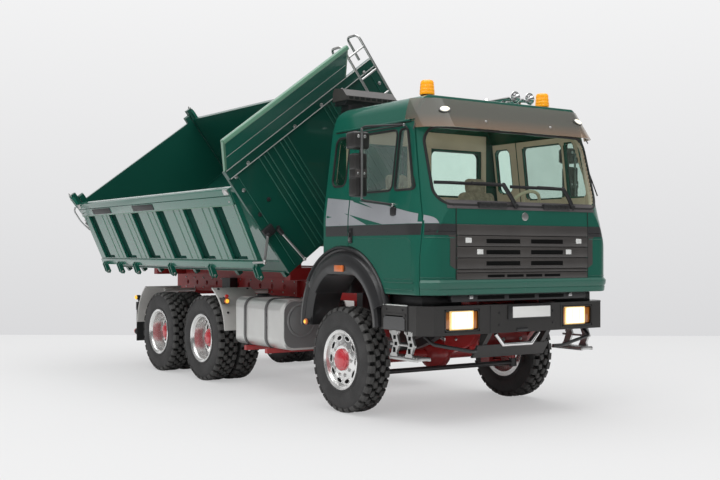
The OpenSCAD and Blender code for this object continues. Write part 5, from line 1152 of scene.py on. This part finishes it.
# Bed frame: floor lip, edge beads, post latches with levers, headboard bolts, ribs, lip and lock rods
POST_LATCH = [(-428.6, 194), (-423.4, 194), (-423.0, 203), (-424.4, 207.4), (-427.6, 207.8), (-429.0, 202)]
HEAD_X, HEAD_LIP_Y = -78.6, (-82.4, 51.8)
HEAD_LIP = [(-56.4, 234.4), (-52.0, 234.4), (-51.4, 235.2), (-51.6, 237.4), (-52.6, 238.2), (-56.0, 238.0),
            (-57.2, 236.8)]
LOCK_X = -76.2
bed = Piece("bed_fittings", "bed", BED, "bright_metal")
bed.box((-424.2, -GATE_Y, 128.6), (-423.2, GATE_Y, 130.6), SHADED_BED_GREEN, 0.2)
for sign in SIGNS:
    for y, z in ((82.0, 127.6), (82.5, 117.4)):
        bed.tube([(-424, sign * y, z), (-86, sign * y, z)], 0.5, GREEN, 8)
    for z in (150, 176):
        bed.box((-427.4, sign * 83.9, z - 4), (-423.8, sign * 85.7, z + 4), STEEL, 0.5)
        bed.rod((-425.6, sign * 83.4, z), (-425.6, sign * 87.2, z), 1.3, METAL, 14)
    bed.prism(POST_LATCH, "y", sign * 81.4, sign * 84.4, GREEN, 0.6)
    bed.rod((-426, sign * 80.6, 204.6), (-426, sign * 85.6, 204.6), 1.2, METAL, 14)
    bed.tube([(-426.0 + u, sign * 83, 209.0 + v) for u, v in circle(1.9, 16)], 0.6, METAL, 8, closed=True)
    bed.box((-426.8, sign * 85.8, 152), (-424.4, sign * 87.0, 175), METAL, 0.5)
    bed.tube([(-427.2, sign * 85.6, 196), (-428.4, sign * 88.4, 193), (-428.4, sign * 89.2, 180),
              (-427.6, sign * 86.8, 168)], 0.8, STEEL, bend=5)
    bed.box((HEAD_X, sign * 74.5, 150.5), (-75.6, sign * 84.4, 158.5), BLACK, 0.8)
    bed.rod((LOCK_X, sign * 72.0, 150.5), (LOCK_X, sign * 66.8, 118.5), 1.0, METAL, 14)
    bed.rod((LOCK_X, sign * 72.2, 152.0), (LOCK_X, sign * 71.2, 146), 1.9, BLACK, 16)
    bed.ball((LOCK_X, sign * 66.8, 118.5), 1.6, METAL, 12)
    for y, z in ((64.1, 173.8), (77.2, 168.8), (70.2, 151.3)):
        bed.bolt((HEAD_X, sign * y, z), AHEAD, 1.3, BLACK)
    for y in (75.5, 52, 47, 43, 36, 29, 25, 21):
        bed.tube([(-78.5, sign * y, 119), (-78.5, sign * y, 204.5)], 0.6 if y < 60 else 0.4, GREEN, 8)
for y, z in ((-63.4, 206.8), (-12.2, 206.8), (18.6, 207), (42.6, 206.5), (69.4, 206.4)):
    bed.bolt((-76.1, y, z), AHEAD, 1.15, METAL)
for y, z in ((-77.1, 203.6), (-77.8, 191.8), (78.5, 203.1), (79, 190.7)):
    bed.bolt((HEAD_X, y, z), AHEAD, 1.15, METAL)
# pale lines across the headboard: painted highlight
for z in (205.4, 212.2):
    bed.tube([(LOCK_X, -82.6, z), (LOCK_X, 82.6, z)], 0.4, HIGHLIGHT_LINE, 8)
# lip, extension ends and the bead below in pale green: painted highlight
bed.prism(HEAD_LIP, "y", *HEAD_LIP_Y, HIGHLIGHT_GREEN, 0.5)
for y in (-82.2, 51.6):
    bed.prism([(-79.8, 212.4), (-77.0, 212.4), (-52.2, 236.4), (-55.6, 236.8)], "y", y - 0.9, y + 0.9,
              HIGHLIGHT_GREEN, 0.4)
# extension face in the lighter copy of the green: painted light
bed.prism([(-76.8, 212.2), (-52.0, 236.2), (-52.4, 236.6), (-77.2, 212.6)], "y", -81.3, 50.7, LIT_HEAD_GREEN)
# pale line on the extension face: painted highlight
bed.tube([(-65.8, -81, 223.2), (-65.8, 50.4, 223.2)], 0.45, HIGHLIGHT_LINE, 8)
bed.tube([(-76.6, -81, 213.4), (-76.6, 50.4, 213.4)], 0.6, HIGHLIGHT_GREEN, 8)
bed.done()

# Chassis fittings: tank end and cap, strap bolts, frame and guard bolts, lamps, and the red front brackets
TANK_FACE, CAP = -89.8, (-160, -60, 76.6)
GUARD_R, GUARD_Z = 43.3, 44
chassis = Piece("chassis_fittings", "chassis", HOME, "bright_metal")
chassis.prism(round_rect((-80.6, 38.6), (-46.4, 75.6), 9), "x", -90.2, -89.7, TANK_END, 0.2)
chassis.lathe([(0, 0), (13.4, 0), (13.2, 0.5), (12.2, 0.9), (11.4, 0.5), (9, 1.3), (5, 1.8), (0, 1.9)],
              (TANK_FACE, -64.5, 60.5), AHEAD, TANK_END, 48)
chassis.lathe([(0, 0), (5.6, 0), (5.6, 2.2), (4.8, 3.0), (0, 3.2)], CAP, UP, BLACK, 28)
for u, v in circle(5.2, 8):
    x, y = CAP[0] + u, CAP[1] + v
    chassis.box((x - 0.5, y - 0.5, 76.8), (x + 0.5, y + 0.5, 79.0), BLACK, 0.2)
for x in (-151.5, -116.24):
    chassis.bolt((x, -78, 33.2), DOWN, 1.1, METAL)
    chassis.rod((x, -78, 33), (x, -78, 36.8), 0.8, METAL, 12)
for sign in SIGNS:
    for x in range(-380, -80, 20):
        for z in (88.8, 79.2):
            chassis.bolt((x, sign * 29.1, z), (0, sign, 0), 0.7, METAL)
    for guard_x, turns in ((-228, (25, 45, 62)), (-335.5, (128, 148, 168))):
        for degrees in turns:
            out = Vector((math.cos(math.radians(degrees)), 0, math.sin(math.radians(degrees))))
            for y in (50, 79):
                chassis.bolt(Vector((guard_x, sign * y, GUARD_Z)) + out * GUARD_R, out, 0.8, BLACK)
    chassis.box((-384.6, sign * 64.4, 56.4), (-383.6, sign * 74.4, 63.6), LENS_RED, 0.3)
    chassis.box((-384.6, sign * 75.4, 56.4), (-383.6, sign * 82, 63.6), AMBER, 0.3)
    chassis.rod((-383.8, sign * 80, 34), (-386.0, sign * 80, 34), 3.6, BLACK, 24)
    chassis.rod((-385.6, sign * 80, 34), (-389.4, sign * 80, 34), 3.15, LENS_RED, 24, 0.8)
    chassis.rod((-382.6, sign * 80.2, 64.2), (-382.6, sign * 80.2, 68.0), 1.2, BLACK, 12)
    chassis.rod((-382.6, sign * 79.0, 68.6), (-382.6, sign * 83.0, 68.6), 2.4, BLACK, 24, 0.5)
    chassis.rod((-382.6, sign * 82.6, 68.6), (-382.6, sign * 84.6, 68.6), 2.1, LIT_AMBER, 24, 0.7)
    chassis.rod((-188.9, sign * 80.5, 72.4), (-187.2, sign * 80.5, 72.4), 2.5, ORANGE, 24, 0.7)
    chassis.rod((-188.0, sign * 80.5, 72.4), (-186.8, sign * 80.5, 72.4), 1.8, LIT_AMBER, 24, 0.5)
    chassis.rod((-190.0, sign * 80.5, 76.6), (-187.6, sign * 80.5, 76.6), 1.7, LENS_RED, 20, 0.5)
    chassis.prism([(40, 75), (84, 75), (84, 63), (72, 51), (54, 44.5), (45, 46.5), (47, 60)], "y",
                  sign * 23.5, sign * 27.5, RED, 0.5)
    for x, z in ((52, 68), (64, 68), (76, 68), (58, 54)):
        chassis.bolt((x, sign * 27.4, z), (0, sign, 0), 0.9, METAL)
chassis.box((67, -23.4, 47), (77, 23.4, 61), RED, 1.2)
for y in (-16, 0, 16):
    chassis.bolt((77, y, 54), AHEAD, 1.0, METAL)
chassis.done()

# Camera at the photograph's place, in metres
EYE, LOOK, ROLL_DEGREES = (0.79975, -0.47993, 0.11545), Vector((-0.8256, 0.5641, 0.0109)), 0.09
camera = bpy.data.cameras.new("camera")
camera.lens, camera.sensor_width = 52.95, 36
camera.clip_start = 0.01
eye = bpy.data.objects.new("camera", camera)
scene.collection.objects.link(eye)
eye.matrix_world = (Matrix.Translation(EYE) @ LOOK.to_track_quat("-Z", "Y").to_matrix().to_4x4()
                    @ Matrix.Rotation(math.radians(ROLL_DEGREES), 4, "Z"))
scene.camera = eye

# Pale floor that ends behind the truck, as the photograph's table does
FLOOR_NEAR, FLOOR_FAR, FLOOR_HALF = -2.2, 1.46, 2.6
view = Vector((LOOK.x, LOOK.y, 0)).normalized()
wide = Vector((-view.y, view.x, 0))
foot = Vector((EYE[0], EYE[1], 0))
floor_mesh = bpy.data.meshes.new("floor")
floor_mesh.from_pydata([foot + view * a + wide * b for a in (FLOOR_NEAR, FLOOR_FAR)
                        for b in (-FLOOR_HALF, FLOOR_HALF)], [], [(0, 2, 3, 1)])
floor = bpy.data.objects.new("floor", floor_mesh)
scene.collection.objects.link(floor)
plain_floor = finish_of("floor_white", (0.82, 0.82, 0.82), rough=0.5, vary=0.012, cloud=3, bump=0.02, soft=0)
tree = plain_floor.node_tree
out = next(n for n in tree.nodes if n.type == "OUTPUT_MATERIAL")
skin = next(n for n in tree.nodes if n.type == "BSDF_PRINCIPLED")
pale = node(tree, "Emission", {"Color": (0.41, 0.41, 0.412, 1)})
cast = node(tree, "BsdfDiffuse", {"Color": (0.39, 0.39, 0.39, 1)})
seen = node(tree, "LightPath").outputs["Is Camera Ray"]
both = node(tree, "MixShader", {"Fac": seen, 1: skin, 2: node(tree, "AddShader", {0: pale, 1: cast})})
tree.links.new(both.outputs["Shader"], out.inputs["Surface"])
floor_mesh.materials.append(plain_floor)


# Soft studio light
def lamp(name, place, target, size, power):
    data = bpy.data.lights.new(name, "AREA")
    data.shape = "RECTANGLE"
    data.size, data.size_y = size
    data.energy = power
    obj = bpy.data.objects.new(name, data)
    scene.collection.objects.link(obj)
    aim = (Vector(target) - Vector(place)).to_track_quat("-Z", "Y").to_matrix().to_4x4()
    obj.matrix_world = Matrix.Translation(place) @ aim
    return obj


lamp("overhead", (0.15, -0.1, 1.5), (0, 0, 0), (1.9, 1.9), 20)
lamp("fill", (0.9, -1.5, 0.9), (0, 0, 0.1), (1.2, 1.0), 8).visible_glossy = False

# World: a pale wall for the camera, metal and glass, darker behind the camera, and a plain ambient light
world = bpy.data.worlds.new("studio")
scene.world = world
world.use_nodes = True
tree = world.node_tree
tree.nodes.clear()


def larger(a, b):
    return node(tree, "Math", {0: a, 1: b}, operation="MAXIMUM")


rays = node(tree, "LightPath").outputs
where = node(tree, "TexCoord").outputs["Generated"]
height = node(tree, "SeparateXYZ", {"Vector": where}).outputs["Z"]
level = node(tree, "MapRange", {"Value": height, "From Min": -0.08, "From Max": 0.24})
toward = node(tree, "VectorMath", {0: where, 1: view}, operation="DOT_PRODUCT").outputs["Value"]
dim = node(tree, "MapRange", {"Value": toward, "From Min": 0.2, "From Max": 0.9, "To Min": 0.12},
           interpolation_type="SMOOTHSTEP")
rise = node(tree, "MapRange", {"Value": height, "From Min": 0.3, "From Max": 0.8})
wall = node(tree, "Background", {"Color": ramp_of(tree, level, (0.7, 0.7, 0.71), (0.9, 0.9, 0.905)),
                                 "Strength": larger(larger(dim, rise), rays["Is Camera Ray"])})
ambient = node(tree, "Background", {"Color": (0.5, 0.5, 0.505, 1)})
seen = larger(larger(rays["Is Camera Ray"], rays["Is Glossy Ray"]), rays["Is Transmission Ray"])
node(tree, "OutputWorld", {"Surface": node(tree, "MixShader", {"Fac": seen, 1: ambient, 2: wall})})
